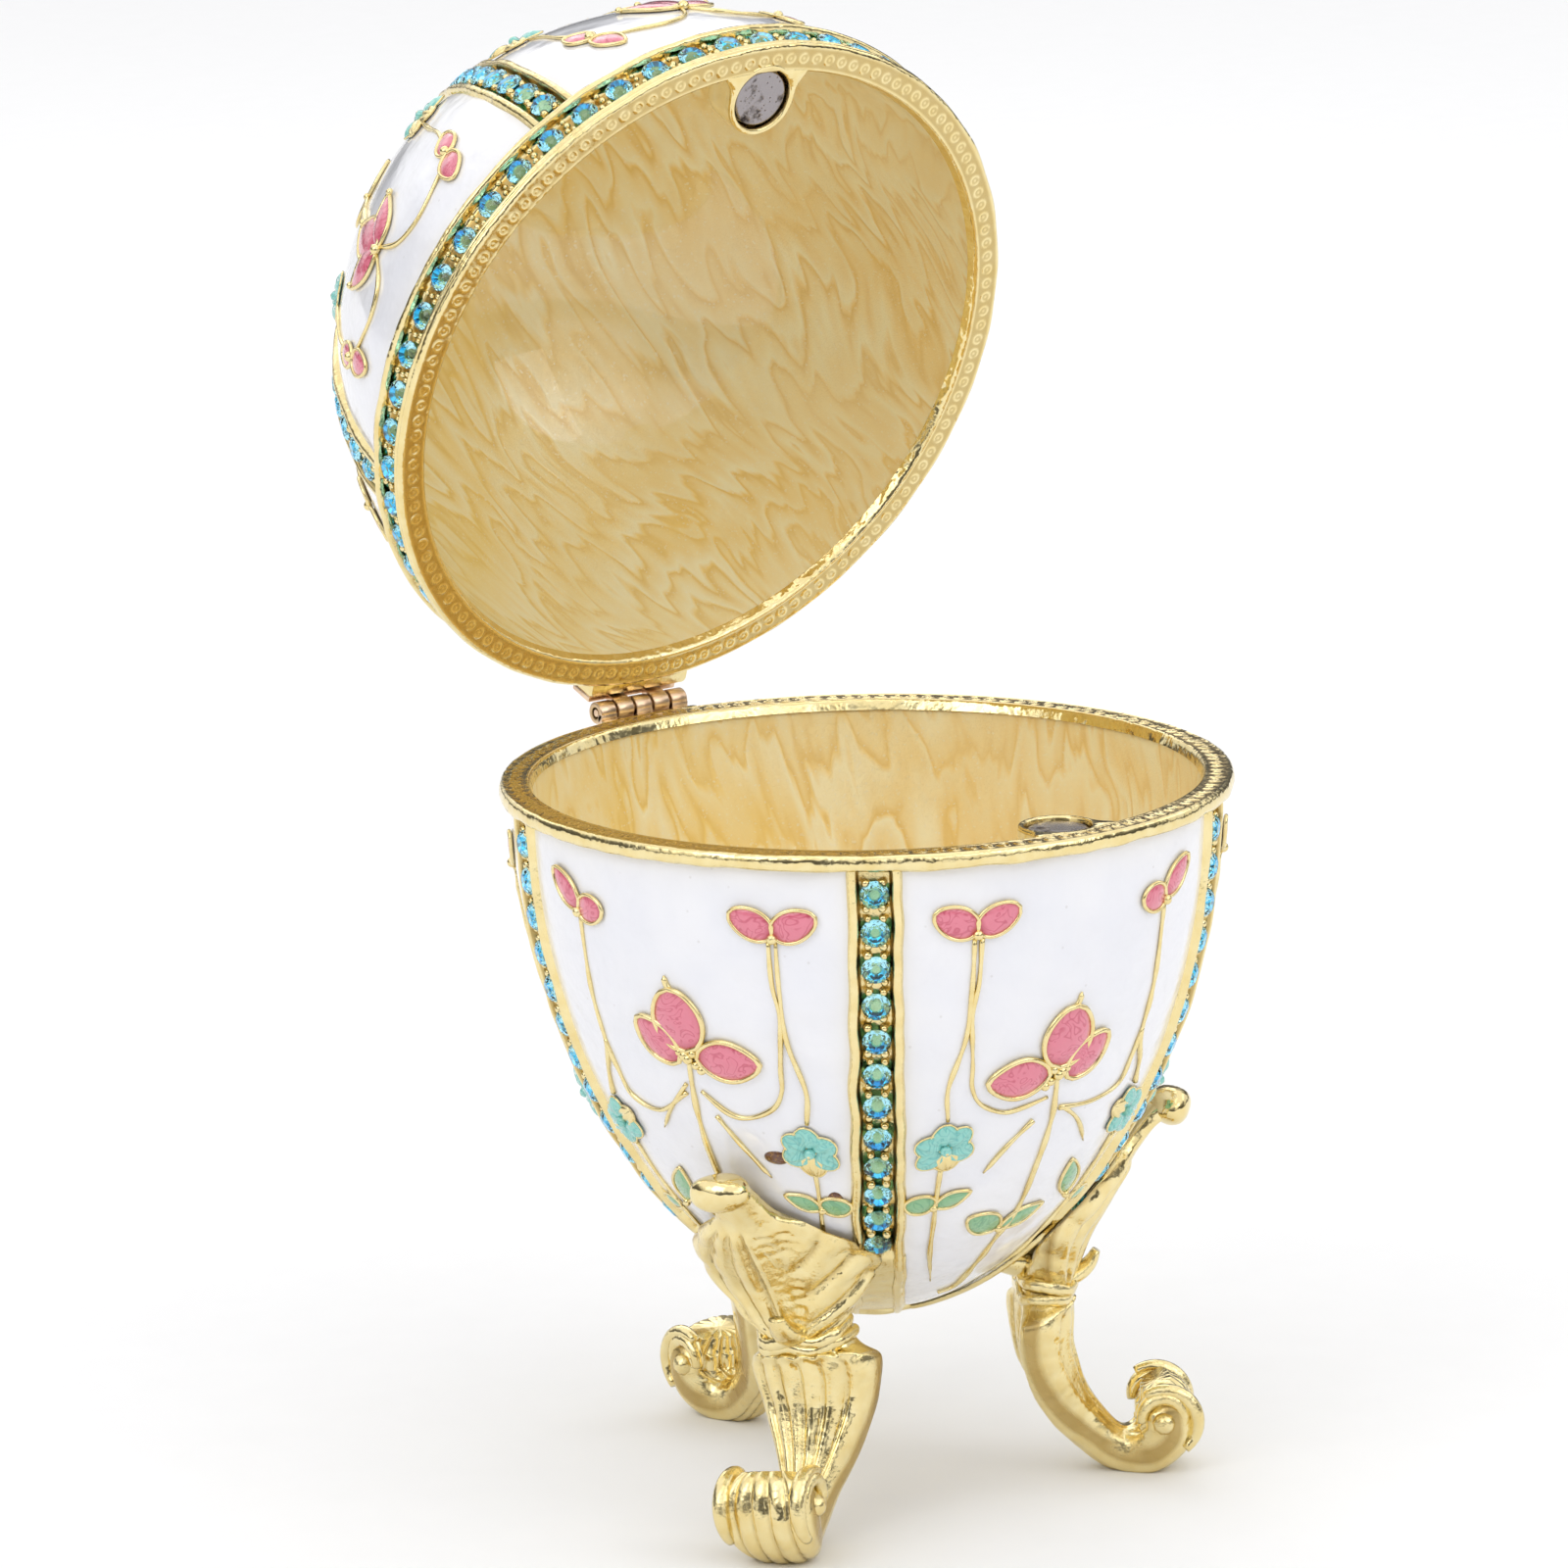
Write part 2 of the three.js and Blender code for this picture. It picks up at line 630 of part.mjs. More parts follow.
function piece(name, body, material) {
  const mesh = new THREE.Mesh(geometryOf(body), material);
  mesh.name = name;
  return mesh;
}

const base = new THREE.Group();
base.position.z = egg.rimPlane;
base.add(piece("base_shell", shell(baseSkin(), -1, baseCurve, flowers.baseHeight), enamelledGold));
base.add(piece("magnet_base", magnetDisc(-1), nickel));

// the lid turns about the hinge axis; inside its group the axis is the origin
const lid = new THREE.Group();
const lidPieces = new THREE.Group();
lidPieces.position.set(0, -hinge.radius, egg.rimGap - hinge.height);
lidPieces.add(piece("lid_shell", shell(lidSkin(), 1, lidCurve, flowers.lidHeight), enamelledGold));
lidPieces.add(piece("magnet_lid", magnetDisc(1), nickel));
lidPieces.add(piece("lid_rim_stones", rimStoneRing(), crystal));

const lidRibStart = lidCurve.down(channelRing.enamelFrom);
for (let k = 0; k < ribs.count; k++) {
  const azimuth = ribs.first + (k * 360) / ribs.count;
  const behindHinge = azimuth === 180 ? 1 : 0; // the hinge seat covers that rib's first stone
  const baseRow = ribStones(baseCurve, 0, azimuth, stones.baseCount, behindHinge);
  base.add(piece(`base_rib_stones_${k + 1}`, baseRow, crystal));
  const lidRow = ribStones(lidCurve, lidRibStart, azimuth, stones.lidCount, 0);
  lidPieces.add(piece(`lid_rib_stones_${k + 1}`, lidRow, crystal));
}

lid.add(lidPieces);
lid.add(piece("hinge_leaf_lid", hingeLeaf(1), brass));
lid.position.set(0, hinge.radius, hinge.height);
lid.rotation.x = -rad(hinge.openAngle);

const fixedHinge = new THREE.Group();
fixedHinge.position.set(0, hinge.radius, hinge.height);
fixedHinge.add(piece("hinge_leaf_base", hingeLeaf(-1), brass));
fixedHinge.add(piece("hinge_pin", lying(hinge.pin, barrel, 0, 0, 8), brass));
base.add(lid, fixedHinge);

const eggBox = new THREE.Group();
eggBox.add(base);
for (const [name, { azimuth, lean }] of Object.entries(legs)) eggBox.add(piece(name, leg(azimuth, lean), gold));

// the origin is on the ground, in the middle of the open box's length
eggBox.updateMatrixWorld(true);
const extent = new THREE.Box3().setFromObject(eggBox, true);
eggBox.position.set(-(extent.min.x + extent.max.x) / 2, -(extent.min.y + extent.max.y) / 2, -extent.min.z);

export default eggBox;
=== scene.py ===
import json
import math
import random
import bmesh
import bpy
import numpy as np
from mathutils import Matrix, Vector


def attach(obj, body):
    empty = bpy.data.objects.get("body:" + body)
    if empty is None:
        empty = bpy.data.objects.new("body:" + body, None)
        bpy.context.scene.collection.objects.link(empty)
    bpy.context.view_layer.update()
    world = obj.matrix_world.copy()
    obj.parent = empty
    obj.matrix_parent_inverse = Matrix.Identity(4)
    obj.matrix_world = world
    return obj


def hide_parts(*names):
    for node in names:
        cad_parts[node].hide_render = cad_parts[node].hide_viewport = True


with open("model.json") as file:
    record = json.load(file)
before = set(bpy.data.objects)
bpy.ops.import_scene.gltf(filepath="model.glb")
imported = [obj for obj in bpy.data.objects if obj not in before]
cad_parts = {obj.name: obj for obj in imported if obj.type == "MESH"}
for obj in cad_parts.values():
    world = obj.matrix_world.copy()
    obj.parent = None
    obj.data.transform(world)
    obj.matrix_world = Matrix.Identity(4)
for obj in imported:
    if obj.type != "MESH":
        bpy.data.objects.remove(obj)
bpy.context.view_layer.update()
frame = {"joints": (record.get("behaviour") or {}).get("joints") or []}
print("frame loaded")

# The box is drawn in millimetres, in three frames: the egg's, from the middle of the base's rim; the
# lid's, from the middle of its own rim with the dome upwards; and the ground's, right under the egg.
egg = {
    "bodyRadius": 29.2,
    "wall": 1.7,
    "bandHeight": 1.3,
    "baseDepth": 44.0,
    "lidHeight": 33.0,
    "rimGap": 0.4,
    "hingeRadius": 32.08,
    "hingeHeight": 0.18,
}
ribLayout = {"count": 5, "first": -36.0}
sector = 360.0 / ribLayout["count"]
lidJoint = frame["joints"][0]
hingeAt = Vector(lidJoint["pos_m"])
openAngle = math.radians(lidJoint["range_deg"][1])
toMetres = Matrix.Scale(0.001, 4)
back, up = egg["hingeRadius"], egg["hingeHeight"]
atHinge = Matrix.Translation(hingeAt) @ toMetres
toBase = atHinge @ Matrix.Translation((0, -back, -up))
toLid = atHinge @ Matrix.Rotation(-openAngle, 4, "X") @ Matrix.Translation((0, -back, egg["rimGap"] - up))
toGround = Matrix.Translation((0, toBase.translation.y, 0)) @ toMetres


def smoothThrough(points, steps):
    pts = np.array(points, float)
    ends = np.vstack([2 * pts[0] - pts[1], pts, 2 * pts[-1] - pts[-2]])
    t = np.linspace(0, 1, steps, endpoint=False)[:, None]
    runs = []
    for i in range(len(pts) - 1):
        a, b, c, d = ends[i:i + 4]
        curve = 2 * b + (c - a) * t + (2 * a - 5 * b + 4 * c - d) * t**2
        runs.append(0.5 * (curve + (3 * b - a - 3 * c + d) * t**3))
    return np.vstack(runs + [pts[-1:]])


def ripple(points, size, seed):  # hand-made unevenness, about -1 to 1
    pts = np.asarray(points, float)
    draw = np.random.default_rng(seed)
    total = np.zeros(pts.shape[:-1])
    for _ in range(6):
        way = draw.normal(size=3)
        way *= 2 * math.pi / (size * draw.uniform(0.7, 1.5) * np.linalg.norm(way))
        total += np.sin(pts @ way + draw.uniform(0, 6.28))
    return total / 2.6


def makeOutline(depth, p, q, side):
    t = 1 - (1 - np.linspace(0, 1, 4001)) ** 2
    r = egg["bodyRadius"] * (1 - t**p) ** q
    z = side * (egg["bandHeight"] + depth * t)
    dr, dz = np.gradient(r), np.gradient(z)
    long = np.hypot(dr, dz)
    s = np.concatenate([[0], np.cumsum(np.hypot(np.diff(r), np.diff(z)))])
    return {"r": r, "z": z, "s": s, "nr": np.abs(dz) / long, "nz": -side * dr / long, "side": side}


baseCurve = makeOutline(egg["baseDepth"], 1.87, 0.55, -1)
lidCurve = makeOutline(egg["lidHeight"], 2.0, 0.55, 1)


def lengthTo(curve, height):  # length down the outline to a height over or under the rim
    return float(np.interp(abs(height), np.abs(curve["z"]), curve["s"]))


def lengthAtRadius(curve, radius):
    return float(np.interp(-radius, -curve["r"], curve["s"]))


def onEgg(curve, azimuth, s, lift=0.0):
    azimuth, s, lift = np.broadcast_arrays(np.radians(azimuth), s, lift)
    r, z, nr, nz = (np.interp(s, curve["s"], curve[k]) for k in ("r", "z", "nr", "nz"))
    out = r + nr * lift
    return np.stack([out * np.sin(azimuth), -out * np.cos(azimuth), z + nz * lift], -1)


def outOfEgg(curve, azimuth, s):
    azimuth, s = np.broadcast_arrays(np.radians(azimuth), s)
    nr, nz = (np.interp(s, curve["s"], curve[k]) for k in ("nr", "nz"))
    return np.stack([nr * np.sin(azimuth), -nr * np.cos(azimuth), nz], -1)


def azimuthAt(curve, middle, x, s):  # azimuth of a point x mm to the side of a line down the egg
    return middle + np.degrees(np.asarray(x) / np.interp(s, curve["s"], curve["r"]))


def around(azimuth, r, z):
    azimuth, r, z = np.broadcast_arrays(np.radians(azimuth), r, z)
    return np.stack([r * np.sin(azimuth), -r * np.cos(azimuth), z], -1)


def newPile():
    return {"verts": [], "faces": [], "count": 0, "marks": {}}


def drop(pile, verts, faces, **marks):
    verts = np.asarray(verts, float).reshape(-1, 3)
    start = pile["count"]
    pile["verts"].append(verts)
    pile["faces"].extend((np.asarray(f) + start).tolist() for f in faces)
    pile["count"] += len(verts)
    for name in set(marks) | set(pile["marks"]):
        values = np.broadcast_to(np.asarray(marks.get(name, 0.0), float).reshape(-1), len(verts))
        pile["marks"].setdefault(name, [np.zeros(start)] if start else []).append(values)


def gridFaces(rows, cols, wrap=False, flip=False):
    r = np.arange(rows - 1)[:, None]
    c = np.arange(cols if wrap else cols - 1)[None, :]
    a = r * cols + c
    b = r * cols + (c + 1) % cols
    quads = np.stack([a, b, b + cols, a + cols], -1).reshape(-1, 4)
    return quads[:, ::-1] if flip else quads


def dropGrid(pile, points, wrap=False, flip=False, **marks):
    rows, cols = points.shape[:2]
    drop(pile, points, gridFaces(rows, cols, wrap, flip), **marks)


def dropTube(pile, rings, flip=False, **marks):  # a closed skin: rings of points with both ends shut
    rows, cols = rings.shape[:2]
    ends = np.stack([rings[0].mean(0), rings[-1].mean(0)])
    body = gridFaces(rows, cols, True, flip).tolist()
    first, last = rows * cols, rows * cols + 1
    for j in range(cols):
        k = (j + 1) % cols
        one, two = [first, k, j], [last, (rows - 1) * cols + j, (rows - 1) * cols + k]
        body += [one[::-1], two[::-1]] if flip else [one, two]
    spread = {n: np.concatenate([np.asarray(v, float).reshape(-1), [0, 0]]) for n, v in marks.items()}
    drop(pile, np.vstack([rings.reshape(-1, 3), ends]), body, **spread)


def finishPiece(name, pile, material, place, body, slotName, smooth=True, stands=(), closed=False, sharp=None):
    mesh = bpy.data.meshes.new(name)
    mesh.from_pydata(np.vstack(pile["verts"]).tolist(), [], pile["faces"])
    if closed:
        work = bmesh.new()
        work.from_mesh(mesh)
        bmesh.ops.recalc_face_normals(work, faces=work.faces)
        work.to_mesh(mesh)
        work.free()
    mesh.update()
    mesh.shade_smooth() if smooth else mesh.shade_flat()
    if sharp:
        mesh.set_sharp_from_angle(angle=math.radians(sharp))
    for mark, values in pile["marks"].items():
        layer = mesh.attributes.new(mark, "FLOAT", "POINT")
        layer.data.foreach_set("value", np.concatenate(values).astype(np.float32))
    mesh.materials.append(material)
    piece = bpy.data.objects.new(name, mesh)
    bpy.context.scene.collection.objects.link(piece)
    piece.matrix_world = place
    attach(piece, body)
    if stands:
        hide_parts(*stands)
    return piece


def sweep(pile, path, normals, width, height, sides=10, closed=False, sink=0.4, flip=True):
    # a bead laid along a path; width and height are its full size, and sink is the share below the path
    path, normals = np.asarray(path, float), np.asarray(normals, float)
    width = np.broadcast_to(width, len(path))
    height = np.broadcast_to(height, len(path))
    tangent = np.roll(path, -1, 0) - np.roll(path, 1, 0) if closed else np.gradient(path, axis=0)
    across = np.cross(tangent, normals)
    across /= np.maximum(np.linalg.norm(across, axis=1, keepdims=True), 1e-9)
    a = np.linspace(0, 2 * math.pi, sides, endpoint=False)
    side = across[:, None] * (np.cos(a)[None, :, None] * width[:, None, None] / 2)
    rise = normals[:, None] * ((np.sin(a)[None, :, None] / 2 + 0.5 - sink) * height[:, None, None])
    rings = path[:, None] + side + rise
    if closed:
        loop = np.vstack([rings, rings[:1]])
        dropGrid(pile, loop, wrap=True, flip=flip)
    else:
        dropTube(pile, rings, flip=flip)


def newGroup(name, inputs, outputs):
    tree = bpy.data.node_groups.new(name, "ShaderNodeTree")
    for label, kind, value in inputs:
        socket = tree.interface.new_socket(label, in_out="INPUT", socket_type="NodeSocket" + kind)
        if value is not None:
            socket.default_value = value
    for label, kind in outputs:
        tree.interface.new_socket(label, in_out="OUTPUT", socket_type="NodeSocket" + kind)
    return tree, tree.nodes.new("NodeGroupInput"), tree.nodes.new("NodeGroupOutput")


def put(tree, kind, values=None, **settings):
    node = tree.nodes.new("ShaderNode" + kind)
    for key, value in settings.items():
        setattr(node, key, value)
    for key, value in (values or {}).items():
        if isinstance(value, bpy.types.NodeSocket):
            tree.links.new(value, node.inputs[key])
        else:
            node.inputs[key].default_value = value
    return node


def maths(tree, operation, a, b=0.0, c=None, clamp=False):
    values = {0: a, 1: b} if c is None else {0: a, 1: b, 2: c}
    return put(tree, "Math", values, operation=operation, use_clamp=clamp).outputs[0]


def blendColours(tree, factor, a, b, mode="MIX"):
    node = put(tree, "Mix", data_type="RGBA", blend_type=mode)
    for key, value in ((0, factor), (6, a), (7, b)):
        if isinstance(value, bpy.types.NodeSocket):
            tree.links.new(value, node.inputs[key])
        else:
            node.inputs[key].default_value = value
    return node.outputs[2]


def stretch(tree, value, low, high, toLow=0.0, toHigh=1.0):
    return put(tree, "MapRange", {0: value, 1: low, 2: high, 3: toLow, 4: toHigh}, clamp=True).outputs[0]


def noiseOf(tree, vector, scale, detail=2.0, rough=0.5, twist=0.0):
    values = {"Vector": vector, "Scale": scale, "Detail": detail, "Roughness": rough, "Distortion": twist}
    return put(tree, "TexNoise", values).outputs["Fac"]


# grit, pits and slow unevenness of a cast and plated surface, in millimetres
def makeCastSkin():
    tree, given, out = newGroup(
        "castSkin",
        [("Vector", "Vector", None), ("Grit Size", "Float", 0.2), ("Grit", "Float", 0.5), ("Swell", "Float", 0.5)],
        [("Height", "Float"), ("Tone", "Float"), ("Worn", "Float")],
    )
    where = given.outputs["Vector"]
    gritScale = maths(tree, "DIVIDE", 1.0, given.outputs["Grit Size"])
    grit = noiseOf(tree, where, gritScale, 3.0, 0.6)
    pits = put(tree, "TexVoronoi", {"Vector": where, "Scale": maths(tree, "MULTIPLY", gritScale, 0.55)})
    pit = stretch(tree, pits.outputs["Distance"], 0.0, 0.32)
    swell = noiseOf(tree, where, 0.75, 2.0)
    patches = noiseOf(tree, where, 0.28, 3.0)
    cover = stretch(tree, patches, 0.38, 0.66)
    rough = maths(tree, "MULTIPLY", maths(tree, "ADD", grit, maths(tree, "MULTIPLY", pit, 0.35)), cover)
    height = maths(tree, "MULTIPLY", rough, given.outputs["Grit"])
    height = maths(tree, "MULTIPLY_ADD", swell, given.outputs["Swell"], height)
    tree.links.new(height, out.inputs["Height"])
    tree.links.new(stretch(tree, swell, 0.3, 0.7), out.inputs["Tone"])
    tree.links.new(cover, out.inputs["Worn"])
    return tree


# the combed flow of pearl enamel: its strokes run along Z of the vector it is given, in millimetres
def makePearlFlow():
    tree, given, out = newGroup(
        "pearlFlow",
        [("Vector", "Vector", None), ("Drag", "Float", 7.0), ("Combs", "Float", 3.6), ("Rows", "Float", 0.12)],
        [("Cream", "Float"), ("Vein", "Float"), ("Mica", "Float"), ("Drift", "Float")],
    )
    where = given.outputs["Vector"]
    slow = put(tree, "TexNoise", {"Vector": where, "Scale": 0.042, "Detail": 1.0})
    push = put(tree, "VectorMath", {0: slow.outputs["Color"], 1: (0.5, 0.5, 0.5)}, operation="SUBTRACT")
    pull = maths(tree, "MULTIPLY", given.outputs["Drag"], 2.0)
    dragged = put(tree, "VectorMath", {0: push.outputs[0], 3: pull}, operation="SCALE")
    moved = put(tree, "VectorMath", {0: where, 1: dragged.outputs[0]}, operation="ADD").outputs[0]
    wide = put(tree, "Mapping", {"Vector": moved, "Scale": (0.33, 0.33, 0.06)}).outputs[0]
    fine = put(tree, "Mapping", {"Vector": moved, "Scale": (0.85, 0.85, 0.13)}).outputs[0]
    combs = maths(tree, "MULTIPLY", noiseOf(tree, wide, 1.0, 1.0), given.outputs["Combs"])
    hairs = maths(tree, "MULTIPLY", noiseOf(tree, fine, 1.0, 1.0), 1.1)
    along = put(tree, "SeparateXYZ", {0: moved}).outputs[2]
    phase = maths(tree, "ADD", maths(tree, "MULTIPLY_ADD", along, given.outputs["Rows"], combs), hairs)
    fold = maths(tree, "FRACT", phase)
    rise, fall = stretch(tree, fold, 0.04, 0.8), stretch(tree, fold, 1.0, 0.86)
    calm = stretch(tree, noiseOf(tree, moved, 0.11, 1.0), 0.3, 0.62, 0.35, 1.0)
    cream = maths(tree, "MULTIPLY", maths(tree, "MULTIPLY", rise, fall), calm)
    early, late = stretch(tree, fold, 0.0, 0.06), stretch(tree, fold, 0.3, 0.06)
    vein = maths(tree, "MULTIPLY", maths(tree, "MULTIPLY", early, late), calm)
    mica = put(tree, "TexVoronoi", {"Vector": where, "Scale": 6.0})
    spark = put(tree, "SeparateColor", {0: mica.outputs["Color"]}).outputs[0]
    tree.links.new(cream, out.inputs["Cream"])
    tree.links.new(vein, out.inputs["Vein"])
    tree.links.new(spark, out.inputs["Mica"])
    tree.links.new(stretch(tree, slow.outputs["Fac"], 0.35, 0.65), out.inputs["Drift"])
    return tree


# coloured enamel between wires: darker towards the edge, which is painted shade by the wires, with a stir mark in it
def makePooled():
    tree, given, out = newGroup(
        "pooledEnamel",
        [("Vector", "Vector", None), ("Thin", "Color", None), ("DeepAndShade", "Color", None), ("Edge", "Float", 0.0)],
        [("Color", "Color"), ("Height", "Float")],
    )
    where = given.outputs["Vector"]
    stir = put(tree, "TexNoise", {"Vector": where, "Scale": 0.55, "Detail": 1.0, "Distortion": 1.6}).outputs["Fac"]
    lines = maths(tree, "PINGPONG", maths(tree, "MULTIPLY", stir, 5.0), 0.5)
    line = stretch(tree, lines, 0.0, 0.2, 0.75, 0.0)
    # painted shade: the edge mark darkens the enamel towards the wires
    edge = stretch(tree, given.outputs["Edge"], 0.55, 1.0, 0.0, 0.85)
    deep = maths(tree, "MAXIMUM", line, edge)
    tree.links.new(blendColours(tree, deep, given.outputs["Thin"], given.outputs["DeepAndShade"]), out.inputs["Color"])
    tree.links.new(noiseOf(tree, where, 0.9, 2.0), out.inputs["Height"])
    return tree


castSkin, pearlFlow, pooled = makeCastSkin(), makePearlFlow(), makePooled()


def newMaterial(name):
    material = bpy.data.materials.new(name)
    material.use_nodes = True
    tree = material.node_tree
    shader = tree.nodes["Principled BSDF"]
    where = put(tree, "TexCoord").outputs["Object"]
    return material, tree, shader, where


def useGroup(tree, group, values):
    node = tree.nodes.new("ShaderNodeGroup")
    node.node_tree = group
    for key, value in values.items():
        if isinstance(value, bpy.types.NodeSocket):
            tree.links.new(value, node.inputs[key])
        else:
            node.inputs[key].default_value = value
    return node


def setShader(shader, **values):  # each value is a number, a colour or another node's output
    for key, value in values.items():
        socket = shader.inputs[key.replace("_", " ")]
        if isinstance(value, bpy.types.NodeSocket):
            shader.id_data.links.new(value, socket)
        else:
            socket.default_value = value


def bumpInto(tree, shader, height, distance, strength=1.0):
    bump = put(tree, "Bump", {"Height": height, "Distance": distance, "Strength": strength})
    tree.links.new(bump.outputs["Normal"], shader.inputs["Normal"])


# the hollow colour is a darker gold that stands for shade in recesses
goldLook = {
    "pale": (0.90, 0.77, 0.42, 1),
    "warm": (0.82, 0.64, 0.27, 1),
    "hollow": (0.46, 0.31, 0.10, 1),
}


def makeGold(name, gritSize, grit, swell, smooth, worn, depth, pale=goldLook["pale"], warm=goldLook["warm"]):
    material, tree, shader, where = newMaterial(name)
    skin = useGroup(tree, castSkin, {"Vector": where, "Grit Size": gritSize, "Grit": grit, "Swell": swell})
    # painted shade: parts marked as recesses on the mesh are darkened towards that colour
    hollow = put(tree, "Attribute", attribute_name="hollow").outputs["Fac"]
    tone = blendColours(tree, maths(tree, "MULTIPLY", skin.outputs["Tone"], 0.7), pale, warm)
    colour = blendColours(tree, maths(tree, "MULTIPLY", hollow, 0.85), tone, goldLook["hollow"])
    rough = stretch(tree, skin.outputs["Worn"], 0.0, 1.0, smooth, worn)
    setShader(shader, Base_Color=colour, Roughness=maths(tree, "MULTIPLY_ADD", hollow, 0.12, rough), Metallic=1.0)
    bumpInto(tree, shader, skin.outputs["Height"], depth)
    return material


goldCast = makeGold("gold cast", 0.24, 0.4, 1.3, 0.15, 0.24, 0.00013)
goldPolished = makeGold("gold polished", 0.3, 0.16, 1.1, 0.09, 0.16, 0.00014)
goldWire = makeGold("gold wire", 0.2, 0.5, 0.8, 0.16, 0.26, 0.00008)
hingeBrass = makeGold("hinge brass", 0.3, 0.5, 0.4, 0.24, 0.36, 0.00006, (0.86, 0.66, 0.46, 1), (0.72, 0.47, 0.30, 1))


def makeWhite():
    material, tree, shader, where = newMaterial("white enamel")
    slow = noiseOf(tree, where, 0.16, 2.0)
    speck = put(tree, "TexVoronoi", {"Vector": where, "Scale": 0.42})
    dot = stretch(tree, speck.outputs["Distance"], 0.035, 0.07, 0.3, 0.0)
    tone = blendColours(tree, stretch(tree, slow, 0.35, 0.65), (0.86, 0.865, 0.915, 1), (0.90, 0.90, 0.935, 1))
    near = put(tree, "Attribute", attribute_name="edge").outputs["Fac"]
    warm = blendColours(tree, maths(tree, "MULTIPLY", near, 0.28), tone, (0.90, 0.84, 0.66, 1))
    colour = blendColours(tree, dot, warm, (0.55, 0.52, 0.5, 1))
    setShader(shader, Base_Color=colour, Roughness=0.2, Coat_Weight=1.0, Coat_Roughness=0.03, Coat_IOR=1.5)
    small = maths(tree, "MULTIPLY", noiseOf(tree, where, 1.1, 1.0), 0.08)
    bumpInto(tree, shader, maths(tree, "MULTIPLY_ADD", noiseOf(tree, where, 0.22, 1.5), 1.0, small), 0.0006)
    return material


pearlLook = {"body": (0.95, 0.71, 0.23, 1), "cream": (1.0, 0.92, 0.62, 1), "vein": (0.78, 0.50, 0.12, 1),
             "green": (0.84, 0.80, 0.32, 1), "rose": (0.95, 0.68, 0.36, 1), "spark": (1.0, 0.95, 0.78, 1)}


def makePearl(name, turn, green, rose, unrolled=0.0):
    material, tree, shader, where = newMaterial(name)
    axis = put(tree, "SeparateXYZ", {0: where})
    laid = where
    if unrolled:  # the dome is laid out flat from its pole, so that the strokes keep their length on it
        flat = put(tree, "CombineXYZ", {0: axis.outputs[0], 1: axis.outputs[1]}).outputs[0]
        away = put(tree, "VectorMath", {0: flat}, operation="LENGTH").outputs[1]
        arc = maths(tree, "MULTIPLY", maths(tree, "ARCTAN2", away, axis.outputs[2]), unrolled)
        spread = maths(tree, "DIVIDE", arc, maths(tree, "MAXIMUM", away, 0.01))
        laid = put(tree, "VectorMath", {0: flat, 3: spread}, operation="SCALE").outputs[0]
    turned = put(tree, "Mapping", {"Vector": laid, "Rotation": turn}).outputs[0]
    marks = useGroup(tree, pearlFlow, {"Vector": turned})
    leftSide = stretch(tree, axis.outputs[0], -4.0, -26.0)
    rightSide = stretch(tree, axis.outputs[0], 0.0, 26.0)
    body = blendColours(tree, maths(tree, "MULTIPLY", leftSide, green), pearlLook["body"], pearlLook["green"])
    body = blendColours(tree, maths(tree, "MULTIPLY", rightSide, rose), body, pearlLook["rose"])
    drift = blendColours(tree, maths(tree, "MULTIPLY", marks.outputs["Drift"], 0.45), body, pearlLook["cream"])
    folded = blendColours(tree, marks.outputs["Cream"], drift, pearlLook["cream"])
    veined = blendColours(tree, maths(tree, "MULTIPLY", marks.outputs["Vein"], 0.42), folded, pearlLook["vein"])
    # the mica's bright flecks are painted into the colour: partly the flakes' own pale colour, partly a painted glint
    flash = stretch(tree, marks.outputs["Mica"], 0.92, 1.0, 0.0, 0.5)
    setShader(shader, Base_Color=blendColours(tree, flash, veined, pearlLook["spark"]))
    setShader(shader, Metallic=stretch(tree, marks.outputs["Mica"], 0.4, 1.0, 0.0, 0.3))
    setShader(shader, Roughness=0.4, Coat_Weight=1.0, Coat_Roughness=0.02, Coat_IOR=1.52)
    bumpInto(tree, shader, maths(tree, "ADD", marks.outputs["Mica"], marks.outputs["Cream"]), 0.00004)
    return material


def makeEnamel(name, thin, deep):
    material, tree, shader, where = newMaterial(name)
    edge = put(tree, "Attribute", attribute_name="edge").outputs["Fac"]
    # the deep colour serves both the stir marks and the painted shade towards the wires
    pool = useGroup(tree, pooled, {"Vector": where, "Thin": thin, "DeepAndShade": deep, "Edge": edge})
    setShader(shader, Base_Color=pool.outputs["Color"], Roughness=0.12, Coat_Weight=1.0, Coat_Roughness=0.03,
              Specular_IOR_Level=0.6)
    bumpInto(tree, shader, pool.outputs["Height"], 0.0002)
    return material


def makeCrystal():
    material, tree, shader, where = newMaterial("aqua crystal")
    shade = stretch(tree, noiseOf(tree, where, 0.4, 1.0), 0.35, 0.65)
    colour = blendColours(tree, shade, (0.32, 0.80, 0.97, 1), (0.46, 0.88, 1.0, 1))
    setShader(shader, Base_Color=colour, Roughness=0.01, IOR=1.58, Transmission_Weight=1.0)
    return material


def makeFoil():
    material, tree, shader, where = newMaterial("aqua foil")
    shade = stretch(tree, noiseOf(tree, where, 1.2, 1.0), 0.3, 0.7)
    colour = blendColours(tree, shade, (0.12, 0.62, 0.90, 1), (0.34, 0.86, 1.0, 1))
    setShader(shader, Base_Color=colour, Metallic=1.0, Roughness=0.12)
    return material


